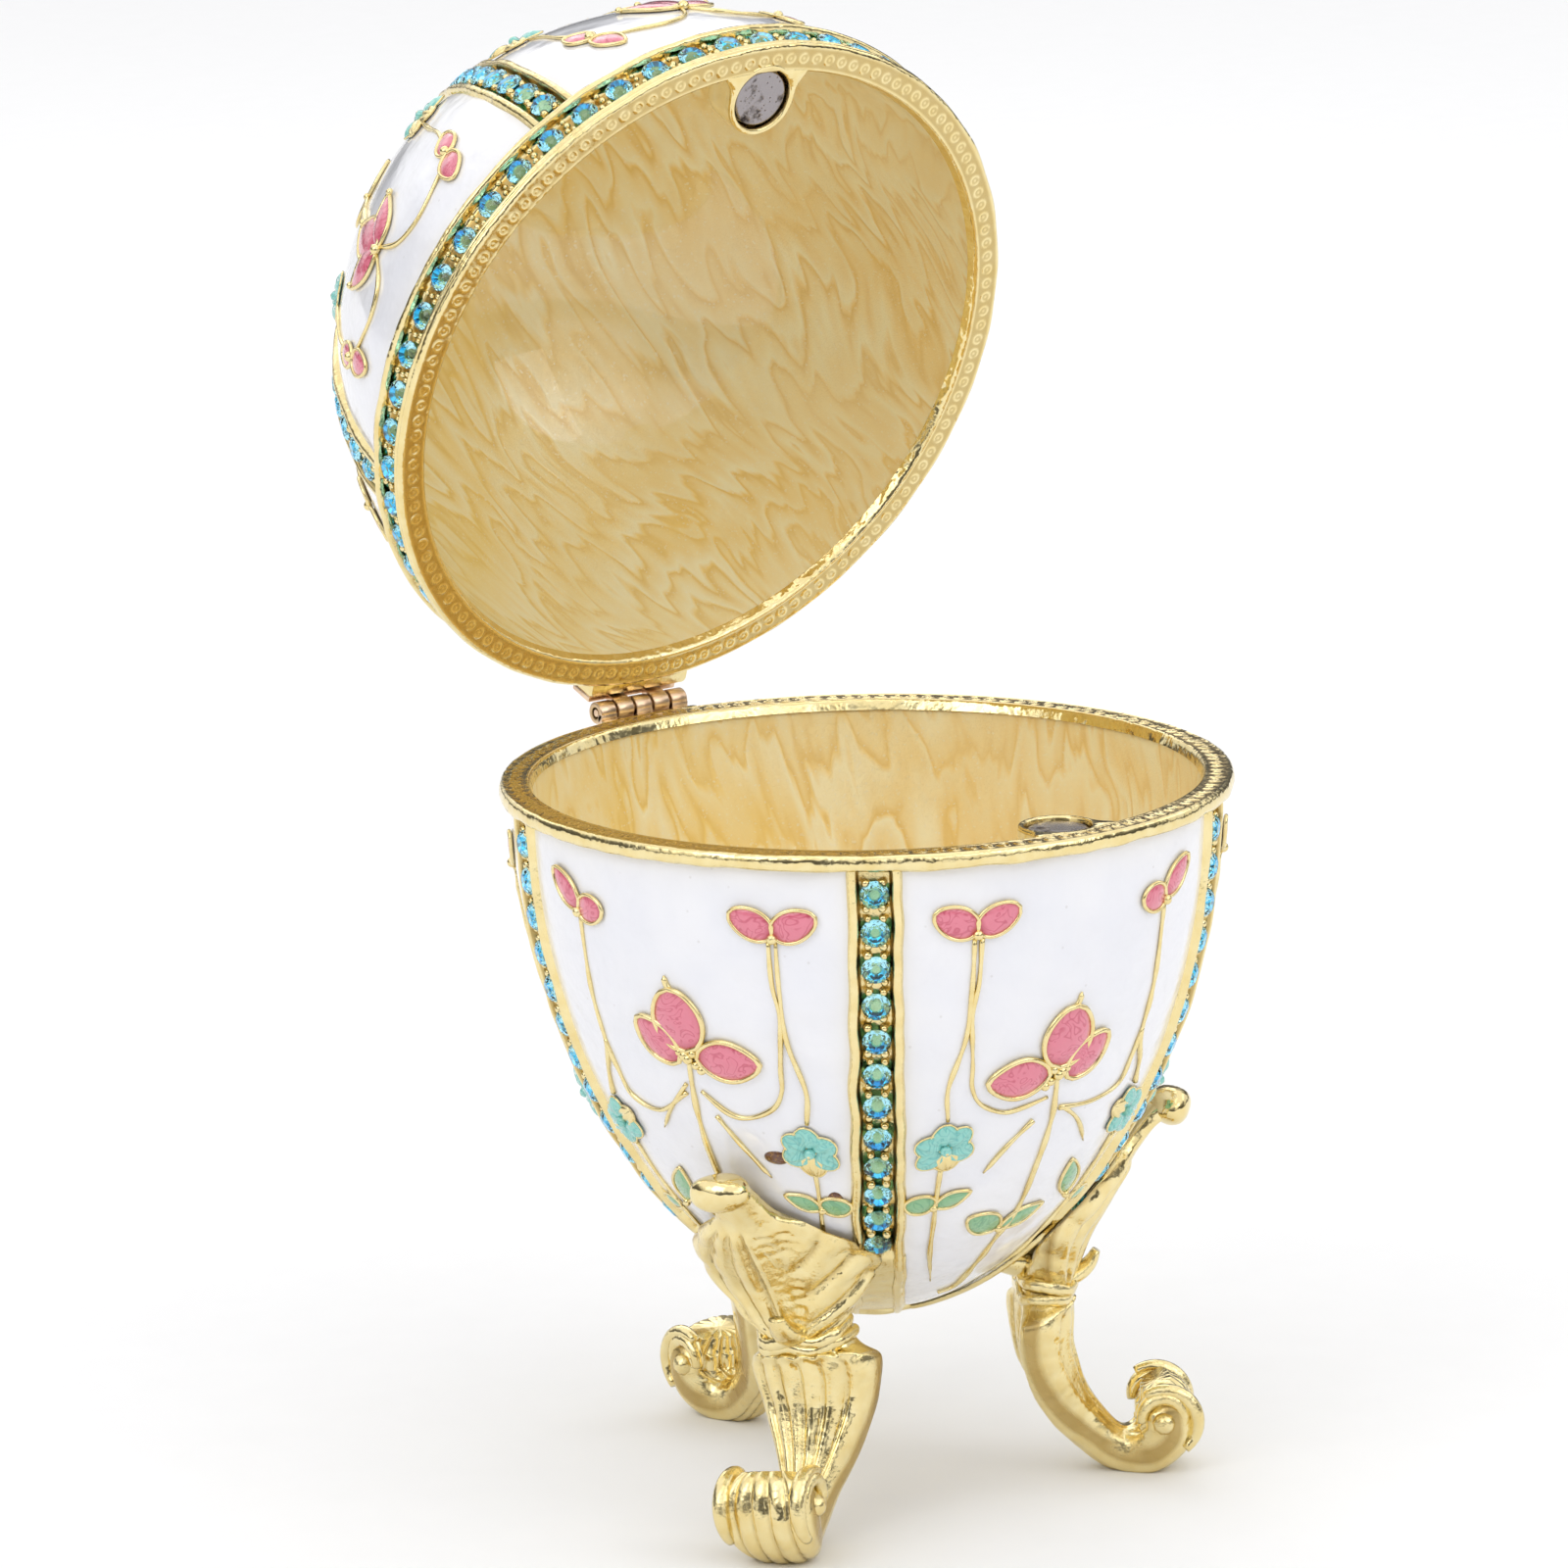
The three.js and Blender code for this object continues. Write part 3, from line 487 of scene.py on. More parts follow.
def makeMagnet():
    material, tree, shader, where = newMaterial("magnet nickel")
    grain = noiseOf(tree, where, 1.3, 4.0, 0.65)
    rust = noiseOf(tree, where, 0.45, 3.0, 0.6)
    corner = stretch(tree, rust, 0.52, 0.62)
    spots = put(tree, "TexVoronoi", {"Vector": where, "Scale": 2.4})
    dots = stretch(tree, spots.outputs["Distance"], 0.1, 0.2, 1.0, 0.0)
    dirt = maths(tree, "MULTIPLY", stretch(tree, grain, 0.45, 0.6), corner)
    dark = maths(tree, "MAXIMUM", dirt, maths(tree, "MULTIPLY", dots, 0.5))
    colour = blendColours(tree, dark, (0.36, 0.33, 0.335, 1), (0.05, 0.04, 0.04, 1))
    setShader(shader, Base_Color=colour, Roughness=stretch(tree, dark, 0.0, 1.0, 0.27, 0.6), Metallic=1.0)
    bumpInto(tree, shader, maths(tree, "MULTIPLY_ADD", dark, -1.0, maths(tree, "MULTIPLY", grain, 0.3)), 0.00006)
    return material


def makeAmber():
    material, tree, shader, where = newMaterial("amber flux")
    fleck = stretch(tree, noiseOf(tree, where, 3.2, 3.0, 0.7), 0.52, 0.66)
    colour = blendColours(tree, fleck, (0.12, 0.03, 0.006, 1), (0.85, 0.42, 0.08, 1))
    setShader(shader, Base_Color=colour, Metallic=maths(tree, "MULTIPLY", fleck, 0.8), Roughness=0.2, Coat_Weight=1.0)
    bumpInto(tree, shader, fleck, 0.00012)
    return material


whiteEnamel = makeWhite()
pearlBase = makePearl("pearl enamel base", (0.0, 0.0, 0.0), 0.15, 0.35)
pearlLid = makePearl("pearl enamel lid", (math.radians(90), math.radians(-35), 0.0), 0.5, 0.35, 29.0)
roseEnamel = makeEnamel("rose enamel", (0.78, 0.20, 0.28, 1), (0.54, 0.05, 0.11, 1))
turquoiseEnamel = makeEnamel("turquoise enamel", (0.27, 0.66, 0.58, 1), (0.10, 0.46, 0.44, 1))
leafEnamel = makeEnamel("leaf enamel", (0.24, 0.50, 0.25, 1), (0.10, 0.33, 0.16, 1))
crystal, foil, magnetNickel, amberFlux = makeCrystal(), makeFoil(), makeMagnet(), makeAmber()
print("materials made")


# Enamel panels between the ribs, and the ribs' cast rails with their sunk channels.
panelLook = {"rows": 88, "cols": 60, "reach": 2.08, "wave": 0.035, "edgeDip": 0.1, "edgeWide": 0.9}
ribShape = [(-2.3, -0.25), (-2.16, 0.04), (-2.05, 0.28), (-1.9, 0.41), (-1.7, 0.46), (-1.5, 0.42), (-1.4, 0.28),
            (-1.36, 0.05), (-1.32, -0.3), (-1.15, -0.42), (0.0, -0.38)]
ribLook = {"step": 0.3, "wobble": 0.09, "uneven": 0.06, "floor": -0.45, "filled": 0.1, "discEdge": 4.1}
stoneLook = {"pitch": 3.13, "firstAt": 2.0, "baseCount": 12, "lidCount": 11, "pastLast": 1.62, "radius": 1.15,
             "seat": 0.1, "tilt": 0.05, "bead": 0.36, "beadAlong": 0.42, "beadAside": 0.62}
lidFrom = lengthTo(lidCurve, 4.8)


def dropPanels(pile, curve, sFrom, sTo, seed):
    share = np.linspace(0, 1, panelLook["cols"])[None, :]
    s = np.linspace(sFrom, sTo, panelLook["rows"])[:, None] + 0 * share
    r = np.interp(s, curve["s"], curve["r"])
    for k in range(ribLayout["count"]):
        edge = np.degrees(panelLook["reach"] / r)
        azimuth = ribLayout["first"] + k * sector + edge + (sector - 2 * edge) * share
        wide = np.radians(sector - 2 * edge) * r
        near = np.minimum(np.minimum(share, 1 - share) * wide, np.minimum(s - sFrom, sTo - s))
        border = np.exp(-near / panelLook["edgeWide"])
        lift = panelLook["wave"] * ripple(onEgg(curve, azimuth, s), 9.0, seed + k) - panelLook["edgeDip"] * border
        dropGrid(pile, onEgg(curve, azimuth, s, lift), flip=curve["side"] < 0, edge=border)


def dropRibs(pile, curve, sFrom, sTo, channelEnd, seed):
    shape = np.array(ribShape + [(-x, lift) for x, lift in ribShape[-2::-1]])
    s = np.linspace(sFrom, sTo, int((sTo - sFrom) / ribLook["step"]) + 1)
    raised = np.clip((s - channelEnd) / 0.6, 0, 1)
    floor = ribLook["floor"] + (ribLook["filled"] - ribLook["floor"]) * raised * raised * (3 - 2 * raised)
    # painted shade: the channel's sides beside the stones, and more faintly its floor, are marked to be drawn as
    # darker gold
    sunk = np.where(np.abs(np.abs(shape[:, 0]) - 1.3) < 0.1, 0.9, np.where(np.abs(shape[:, 0]) < 1.25, 0.12, 0.0))
    for k in range(ribLayout["count"]):
        azimuth = ribLayout["first"] + k * sector
        along = np.stack([s, 0 * s, 0 * s], -1)
        left, right = (ribLook["wobble"] * ripple(along, 4.5, seed + 10 * k + j) for j in (1, 2))
        lifts = ribLook["uneven"] * ripple(along, 5.5, seed + 10 * k + 3)
        x = shape[None, :, 0] + np.where(shape[:, 0] < 0, left[:, None], right[:, None]) * (np.abs(shape[:, 0]) > 0.5)
        sunkLift, railLift = np.maximum(shape[None, :, 1], floor[:, None]), shape[None, :, 1] + lifts[:, None]
        lift = np.where(shape[:, 1] < 0, sunkLift, railLift)
        points = onEgg(curve, azimuthAt(curve, azimuth, x, s[:, None]), s[:, None], lift)
        hollow = sunk[None, :] * (1 - raised[:, None])
        dropGrid(pile, points, flip=curve["side"] < 0, hollow=hollow)


def dropCap(pile, curve, seed):  # the plain gold disc where the ribs meet
    radius = np.array([4.45, 4.3, 4.1, 3.8, 3.2, 2.4, 1.6, 0.8, 0.02])
    lift = np.array([-0.3, 0.1, 0.36, 0.45, 0.47, 0.46, 0.45, 0.45, 0.45])
    s = np.array([lengthAtRadius(curve, r) for r in radius])[:, None]
    azimuth = np.linspace(0, 360, 72, endpoint=False)[None, :]
    points = onEgg(curve, azimuth, s, lift[:, None])
    uneven = 0.04 * ripple(points, 3.0, seed)
    points = points + outOfEgg(curve, azimuth + 0 * s, s + 0 * azimuth) * uneven[..., None]
    dropGrid(pile, points, wrap=True, flip=curve["side"] < 0)


def makeHalf(half, curve, place, sFrom, ribFrom, count, seed):
    panels, ribs = newPile(), newPile()
    edge = lengthAtRadius(curve, ribLook["discEdge"])
    channelEnd = sFrom + stoneLook["firstAt"] + (count - 1) * stoneLook["pitch"] + stoneLook["pastLast"]
    dropPanels(panels, curve, sFrom, edge, seed)
    finishPiece(half + "Panels", panels, whiteEnamel, place, half, "white_enamel", stands=(half + "_shell",))
    dropRibs(ribs, curve, ribFrom, edge, channelEnd, seed + 20)
    dropCap(ribs, curve, seed + 21)
    finishPiece(half + "Ribs", ribs, goldCast, place, half, "gold_plate", stands=(half + "_shell",))


makeHalf("base", baseCurve, toBase, 0.0, 0.0, stoneLook["baseCount"], 20)
makeHalf("lid", lidCurve, toLid, lidFrom, lidFrom - 0.2, stoneLook["lidCount"], 60)
print("panels and ribs made")


# The two rims. A profile is a list of radius and height from the mouth round the outside.
rimLook = {"rings": 132, "perRing": 12, "outside": 540, "ringAt": 28.72, "ringRadius": 0.42, "ringLine": 0.1,
           "dot": 0.13, "flatFrom": 27.85, "flatTo": 29.66, "relief": 0.09, "wave": 0.035, "edgeWave": 0.07,
           "channel": (1.12, 3.55)}
baseRimShape = [(27.3, -0.9), (27.5, -0.35), (27.62, -0.1), (27.78, 0.0), (29.7, 0.0), (29.86, -0.05), (29.98, -0.2),
                (30.06, -0.5), (30.08, -0.85), (30.0, -1.12), (29.82, -1.3), (29.5, -1.4), (29.1, -1.38)]
lidRimShape = [(27.3, 0.9), (27.5, 0.35), (27.62, 0.1), (27.78, 0.0), (29.7, 0.0), (29.85, 0.05), (29.98, 0.2),
               (30.02, 0.4), (29.96, 0.52), (29.86, 0.57), (29.97, 0.64), (30.04, 0.78), (29.98, 0.93), (29.8, 1.02),
               (29.3, 1.08), (28.98, 1.15), (28.92, 1.4), (28.9, 2.35), (28.92, 3.35), (28.98, 3.6), (29.3, 3.68),
               (29.75, 3.74), (29.92, 3.86), (29.97, 4.05), (29.9, 4.26), (29.7, 4.42), (29.45, 4.5), (29.2, 4.62),
               (28.98, 4.8)]


def dropRim(pile, shape, side, seed, roughFrom):
    # the flat face is drawn finely, for its stamped rings, and the outside with fewer columns;
    # roughFrom is the height past which its edge is left uneven
    face = [i for i in range(len(shape) - 1) if shape[i][1] == shape[i + 1][1] == 0][0]
    inner = shape[:face] + [(r, 0.0) for r in np.linspace(shape[face][0], shape[face + 1][0], 18)]
    for part, count in ((inner, rimLook["rings"] * rimLook["perRing"]), (shape[face + 1:], rimLook["outside"])):
        dropRimStrip(pile, np.array(part), count, side, seed, roughFrom)


def dropRimStrip(pile, rows, count, side, seed, roughFrom):
    azimuth = np.linspace(0, 360, count, endpoint=False)
    r, z, height = rows[:, :1] + 0 * azimuth, rows[:, 1:] + 0 * azimuth, np.abs(rows[:, 1:])
    step = 360 / rimLook["rings"]
    index = np.floor(azimuth / step)
    u = ((azimuth / step) % 1 - 0.5) * math.radians(step) * rimLook["ringAt"]
    v = r - rimLook["ringAt"] - 0.06 * np.sin(index * 12.9898 + seed)
    d = np.hypot(u, v)
    broken = np.exp(-((np.abs(np.arctan2(v, u) + 1.2 * np.sin(index * 4.7 + seed)) / 0.55) ** 2))
    ring = np.exp(-(((d - rimLook["ringRadius"]) / rimLook["ringLine"]) ** 2)) * (1 - 0.8 * broken)
    dot = np.exp(-((d / rimLook["dot"]) ** 2))
    bare = np.clip(np.minimum(r - rimLook["flatFrom"], rimLook["flatTo"] - r) / 0.12, 0, 1) * (rows[:, 1:] == 0)
    relief = (ring + 0.8 * dot - 0.55) * bare
    points = around(azimuth, r, z)
    outside = (r > 29.72) & (height > 0)
    r = r + np.where(outside, rimLook["wave"] * ripple(points, 5.0, seed), 0)
    uneven = np.where(height > roughFrom, rimLook["edgeWave"] * ripple(points, 2.6, seed + 5), 0)
    z = z - side * relief * rimLook["relief"] + uneven
    low, high = rimLook["channel"]
    # painted shade: the flat face between the stamped rings and dots, and the lid's channel under the stones, are
    # marked for darker gold
    hollow = np.clip(0.75 - ring - dot, 0, 1) * bare
    hollow = np.where((height > low) & (height < high) & (r < 29.3) & (side > 0), 1.0, hollow)
    dropGrid(pile, around(azimuth, r, z), wrap=True, flip=side > 0, hollow=hollow)


for half, shape, side, seed, roughFrom, place in (
    ("base", baseRimShape, -1, 3, 0.9, toBase),
    ("lid", lidRimShape, 1, 7, 4.2, toLid),
):
    rim = newPile()
    dropRim(rim, shape, side, seed, roughFrom)
    finishPiece(half + "Rim", rim, goldPolished, place, half, "gold_plate", stands=(half + "_shell",))


# The pearly inside of each half: one thick glaze, a little uneven, that thins out on the rim.
insideLook = {"cols": 180, "rows": 70, "wave": 0.12, "pole": 0.05, "mouth": (27.7, 27.64), "sunk": (-0.02, -0.15)}


def dropInside(pile, curve, seed):
    last = lengthAtRadius(curve, insideLook["pole"])
    s = np.concatenate([[0.35, 0.6, 0.9, 1.3], np.linspace(1.8, last, insideLook["rows"])])[:, None]
    azimuth = np.linspace(0, 360, insideLook["cols"], endpoint=False)[None, :]
    points = onEgg(curve, azimuth, s, -egg["wall"])
    fade = np.clip((s - 1.0) / 6, 0, 1)
    inward = -outOfEgg(curve, azimuth + 0 * s, s + 0 * azimuth)
    points = points + inward * (insideLook["wave"] * fade * ripple(points, 16.0, seed))[..., None]
    mouthRadius, sunk = np.array(insideLook["mouth"])[:, None], np.array(insideLook["sunk"])[:, None]
    mouth = around(azimuth, mouthRadius, -curve["side"] * sunk)
    dropGrid(pile, np.concatenate([mouth, points]), wrap=True, flip=curve["side"] > 0)


for half, curve, seed, glaze, place in (
    ("base", baseCurve, 5, pearlBase, toBase),
    ("lid", lidCurve, 6, pearlLid, toLid),
):
    inside = newPile()
    dropInside(inside, curve, seed)
    finishPiece(half + "Inside", inside, glaze, place, half, "pearl_enamel", stands=(half + "_shell",))
print("rims and insides made")


# Set stones: a cut crystal over a bright foil cup, with small gold beads that hold it.
gemCut = {"table": (0.58, 0.40), "star": (0.86, 0.25), "girdle": 1.0, "lower": (0.52, -0.34), "culet": -0.62}


def frameOf(normal, along):
    across = np.cross(normal, along)
    across /= np.linalg.norm(across)
    return across, np.cross(across, normal)


def dropGem(stonePile, cupPile, centre, normal, along, radius, turn):
    across, along = frameOf(normal, along)
    place = lambda a, r, h: centre + radius * (r * (math.cos(a) * along + math.sin(a) * across) + h * normal)
    ring = lambda count, start, r, h: [place(turn + start + 2 * math.pi * i / count, r, h) for i in range(count)]
    half = math.pi / 8
    table = ring(8, 0, *gemCut["table"])
    star = ring(8, half, *gemCut["star"])
    upper = ring(16, 0, gemCut["girdle"], 0.035)
    lower = ring(16, 0, gemCut["girdle"], -0.035)
    deep = ring(8, half, *gemCut["lower"])
    verts = table + star + upper + lower + deep + [place(0, 0, gemCut["culet"])]
    starAt, upperAt, lowerAt, deepAt, tip = 8, 16, 32, 48, 56  # the table's corners come first
    faces = [list(range(8))]
    for k in range(8):
        after, before = (k + 1) % 8, (k - 1) % 8
        here, mid, end = 2 * k, 2 * k + 1, (2 * k + 2) % 16
        faces.append([k, starAt + k, after])
        faces.append([k, starAt + before, upperAt + here, starAt + k])
        faces.append([starAt + k, upperAt + here, upperAt + mid])
        faces.append([starAt + k, upperAt + mid, upperAt + end])
        faces.append([tip, deepAt + k, lowerAt + here, deepAt + before])
        faces.append([deepAt + k, lowerAt + mid, lowerAt + here])
        faces.append([deepAt + k, lowerAt + end, lowerAt + mid])
    for k in range(16):
        after = (k + 1) % 16
        faces.append([upperAt + k, lowerAt + k, lowerAt + after, upperAt + after])
    drop(stonePile, verts, faces)
    cup = [place(turn + 2 * math.pi * i / 12, 1.0, -0.1) for i in range(12)] + [place(0, 0, gemCut["culet"] - 0.08)]
    drop(cupPile, cup, [[12, i, (i + 1) % 12] for i in range(12)])


def dropBead(pile, centre, normal, along, size, stretchAlong=1.0):
    across, along = frameOf(normal, along)
    rings = []
    for level in (-0.35, 0.05, 0.42, 0.75, 0.95):
        wide = math.sqrt(max(0.0, 1 - level * level))
        a = np.linspace(0, 2 * math.pi, 9, endpoint=False)[:, None]
        spoke = np.cos(a) * along * stretchAlong + np.sin(a) * across
        rings.append(centre + size * (wide * spoke + level * normal))
    dropTube(pile, np.array(rings))


def finishStones(name, gems, cups, beads, place, body, stands):
    finishPiece(name, gems, crystal, place, body, "aqua_crystal", smooth=False, stands=stands)
    finishPiece(name + "Cups", cups, foil, place, body, "aqua_crystal", smooth=False, stands=stands)
    finishPiece(name + "Beads", beads, goldPolished, place, body, "gold_plate", stands=stands)


def stoneRow(name, curve, sFrom, azimuth, count, skipped, place, body, node, seed):
    draw = random.Random(seed)
    gems, cups, beads = newPile(), newPile(), newPile()
    pitch, first = stoneLook["pitch"], stoneLook["firstAt"]
    for k in range(skipped, count):
        s = sFrom + first + k * pitch + draw.uniform(-0.06, 0.06)
        centre = onEgg(curve, azimuth, s, stoneLook["seat"] + draw.uniform(-0.04, 0.04))
        normal = outOfEgg(curve, azimuth, s)
        along = onEgg(curve, azimuth, s + 0.5) - onEgg(curve, azimuth, s - 0.5)
        tilt = stoneLook["tilt"]
        east = np.cross(normal, along / np.linalg.norm(along))
        leaning = normal + draw.uniform(-tilt, tilt) * east + draw.uniform(-tilt, tilt) * along
        leaning /= np.linalg.norm(leaning)
        dropGem(gems, cups, centre, leaning, along, stoneLook["radius"], draw.uniform(0, 6.28))
    for k in range(skipped, count + 1):
        middle = sFrom + first + (k - 0.5) * pitch
        for side in (-1, 1):
            for way in (-1, 1):
                if (k == skipped and way < 0) or (k == count and way > 0):
                    continue
                s = middle + way * stoneLook["beadAlong"] + draw.uniform(-0.07, 0.07)
                x = side * (stoneLook["beadAside"] + draw.uniform(-0.09, 0.09))
                if k in (skipped, count):  # the last beads stand clear of the channel's end
                    s = middle + way * stoneLook["beadAside"]
                where = azimuthAt(curve, azimuth, x, s)
                size = stoneLook["bead"] * draw.uniform(0.85, 1.15)
                beadAt = onEgg(curve, where, s, draw.uniform(-0.16, -0.04))
                along = onEgg(curve, where, s + 0.3) - onEgg(curve, where, s)
                dropBead(beads, beadAt, outOfEgg(curve, where, s), along, size)
    finishStones(name, gems, cups, beads, place, body, (node,))


for k in range(ribLayout["count"]):
    azimuth = ribLayout["first"] + k * sector
    skipped = 1 if abs(azimuth - 180) < 1 else 0  # the hinge's seat takes the first place of the back rib
    stoneRow(f"baseStones{k + 1}", baseCurve, 0.0, azimuth, stoneLook["baseCount"], skipped, toBase, "base",
             f"base_rib_stones_{k + 1}", 100 + k)
    stoneRow(f"lidStones{k + 1}", lidCurve, lidFrom, azimuth, stoneLook["lidCount"], 0, toLid, "lid",
             f"lid_rib_stones_{k + 1}", 200 + k)

rimRow = {"count": 52, "first": 1.4, "height": 2.35, "level": 29.42, "beadLevel": 29.3, "skipNear": 12.0, "bead": 0.27}


def makeRimRow():
    draw = random.Random(300)
    gems, cups, beads = newPile(), newPile(), newPile()
    step = 360 / rimRow["count"]
    upward = np.array([0.0, 0.0, 1.0])
    for k in range(rimRow["count"]):
        azimuth = rimRow["first"] + (k - rimRow["count"] / 2) * step
        kept = abs(azimuth) < 180 - rimRow["skipNear"]
        if kept:
            out, height = rimRow["level"] + draw.uniform(-0.05, 0.05), rimRow["height"] + draw.uniform(-0.06, 0.06)
            normal = around(azimuth + draw.uniform(-3, 3), 1.0, draw.uniform(-0.05, 0.05))
            normal /= np.linalg.norm(normal)
            centre = around(azimuth, out, height)
            dropGem(gems, cups, centre, normal, upward, stoneLook["radius"], draw.uniform(0, 6.28))
        for x, rise in ((-0.02, 0.78), (-0.3, -0.5), (0.3, -0.62), (0.05, 0.1)):
            where = azimuth + step / 2 + np.degrees((x + draw.uniform(-0.08, 0.08)) / egg["bodyRadius"])
            if abs(where) < 180 - rimRow["skipNear"] + step:
                out = rimRow["beadLevel"] + draw.uniform(-0.1, 0.06)
                height = rimRow["height"] + rise + draw.uniform(-0.1, 0.1)
                size = rimRow["bead"] * draw.uniform(0.8, 1.2)
                dropBead(beads, around(where, out, height), around(where, 1.0, 0.0), upward, size)
    finishStones("lidRimStones", gems, cups, beads, toLid, "lid", ("lid_rim_stones",))


makeRimRow()
print("stones set")


# Wire and petal ornament. A panel view turns mm to the side of the panel's middle and mm down the
# outline into points on the egg; mirror is 1 or -1.
wireLook = {"width": 0.4, "lift": 0.08}


def viewOf(curve, panel, mirror, shift=0.0):
    return {"curve": curve, "middle": ribLayout["first"] + (panel + 0.5) * sector, "mirror": mirror, "shift": shift}


def placeOnView(view, x, s):
    s = np.asarray(s, float) + view["shift"]
    return azimuthAt(view["curve"], view["middle"], view["mirror"] * np.asarray(x, float), s), s


def onView(view, x, s, lift=0.0):
    azimuth, s = placeOnView(view, x, s)
    return onEgg(view["curve"], azimuth, s, lift)


def outOfView(view, x, s):
    azimuth, s = placeOnView(view, x, s)
    return outOfEgg(view["curve"], azimuth, s)


def dropWire(pile, view, points, width=None, lift=None, steps=7, taper=False, seed=0):
    path = smoothThrough(points, steps)
    wide = np.full(len(path), width or wireLook["width"])
    wide = wide * (1 + 0.2 * ripple(np.c_[path, 0 * path[:, 0]], 2.6, seed))
    if taper:
        wide = wide * np.clip(np.linspace(0, 6, len(path))[::-1], 0.35, 1)
    raised = wireLook["lift"] if lift is None else lift
    at = onView(view, path[:, 0], path[:, 1], raised)
    sweep(pile, at, outOfView(view, path[:, 0], path[:, 1]), wide, wide * 0.9, sides=8)


def petalEdge(length, width, tip, belly, count=22):
    # half of a petal's outline, from its root to its tip; tip 0 is round and 1 is pointed
    t = np.linspace(0, 1, count)
    u = t ** belly
    roundEnd = np.sqrt(np.clip(1 - (2 * u - 1) ** 2, 0, 1))
    pointed = np.sin(math.pi * u) ** 1.25
    return t * length, width / 2 * ((1 - tip) * roundEnd + tip * pointed)


def dropPetal(fill, wires, view, root, angle, length, width, tip=0.5, belly=0.9, bend=0.0, dome=0.34, ribs=0.0,
              wire=0.34, base=0.14):
    along, half = petalEdge(length, width, tip, belly)
    turned = math.radians(angle)
    share = np.linspace(-1, 1, 13)[None, :]
    u = (along / length)[:, None]
    side = half[:, None] * share + bend * length * np.sin(math.pi * u / 2) * u
    x = root[0] + along[:, None] * math.cos(turned) - side * math.sin(turned)
    s = root[1] - along[:, None] * math.sin(turned) - side * math.cos(turned)
    rise = np.sqrt(np.clip(1 - share**2, 0, 1)) * np.sqrt(np.clip(np.sin(math.pi * np.clip(u, 0.02, 0.98)), 0, 1))
    lift = base - 0.1 + dome * rise + ribs * np.cos(share * 3 * math.pi) * rise
    # the edge mark, near the petal's sides and root, is where the enamel gets painted shade
    edge = np.maximum(np.abs(share) ** 3 + 0 * u, np.clip(1.2 - u * 3.2, 0, 1))
    dropGrid(fill, onView(view, x, s, lift), flip=(view["mirror"] * view["curve"]["side"]) < 0, edge=edge)
    ringX = np.concatenate([x[:, 0], x[-2:0:-1, -1]])
    ringS = np.concatenate([s[:, 0], s[-2:0:-1, -1]])
    at = onView(view, ringX, ringS, base)
    sweep(wires, at, outOfView(view, ringX, ringS), wire, wire * 1.05, sides=8, closed=True)


def dropBall(pile, view, x, s, size, lift=0.2, stretchAlong=1.0):
    at, normal = onView(view, x, s, lift), outOfView(view, x, s)
    dropBead(pile, at, normal, onView(view, x, s + 0.3) - onView(view, x, s), size, stretchAlong)


def dropRosette(piles, view, x, s, radius, golden, seed):
    # a small flower of six ribbed petals round a bead; some petals are left gold
    draw = random.Random(seed)
    start = draw.uniform(0, 60)
    for k in range(6):
        angle = start + 60 * k + draw.uniform(-5, 5)
        turned = math.radians(angle)
        root = (x + 0.28 * math.cos(turned), s - 0.28 * math.sin(turned))
        fill = piles["gold"] if k in golden else piles["turquoise"]
        dropPetal(fill, piles["gold"], view, root, angle, radius * draw.uniform(0.84, 0.96), radius * 0.92, tip=0.1,
                  belly=0.72, dome=0.44, ribs=0.11, wire=0.17, base=0.2)
    dropBall(piles["turquoise"], view, x, s, 0.5, 0.4)
    dropBall(piles["gold"], view, x, s, 0.24, 0.68)


def dropBow(piles, view, knot, wings):
    for angle, length, width, tip in wings:
        dropPetal(piles["rose"], piles["gold"], view, knot, angle, length, width, tip=tip, belly=0.85, dome=0.36,
                  base=0.2)
    dropBall(piles["gold"], view, knot[0], knot[1] + 0.35, 0.46, 0.3)


def dropLeaves(piles, view, leaves):
    for root, angle, length, width, tip in leaves:
        dropPetal(piles["leaf"], piles["gold"], view, root, angle, length, width, tip=tip, belly=0.85, dome=0.32,
                  base=0.16, wire=0.3)


def newOrnament():
    return {"gold": newPile(), "rose": newPile(), "turquoise": newPile(), "leaf": newPile()}


def finishOrnament(name, piles, place, body, node):
    for part, pile, material, slotName in (
        ("Wires", "gold", goldWire, "gold_plate"),
        ("Rose", "rose", roseEnamel, "rose_enamel"),
        ("Turquoise", "turquoise", turquoiseEnamel, "turquoise_enamel"),
        ("Leaves", "leaf", leafEnamel, "leaf_enamel"),
    ):
        finishPiece(name + part, piles[pile], material, place, body, slotName, stands=(node,))


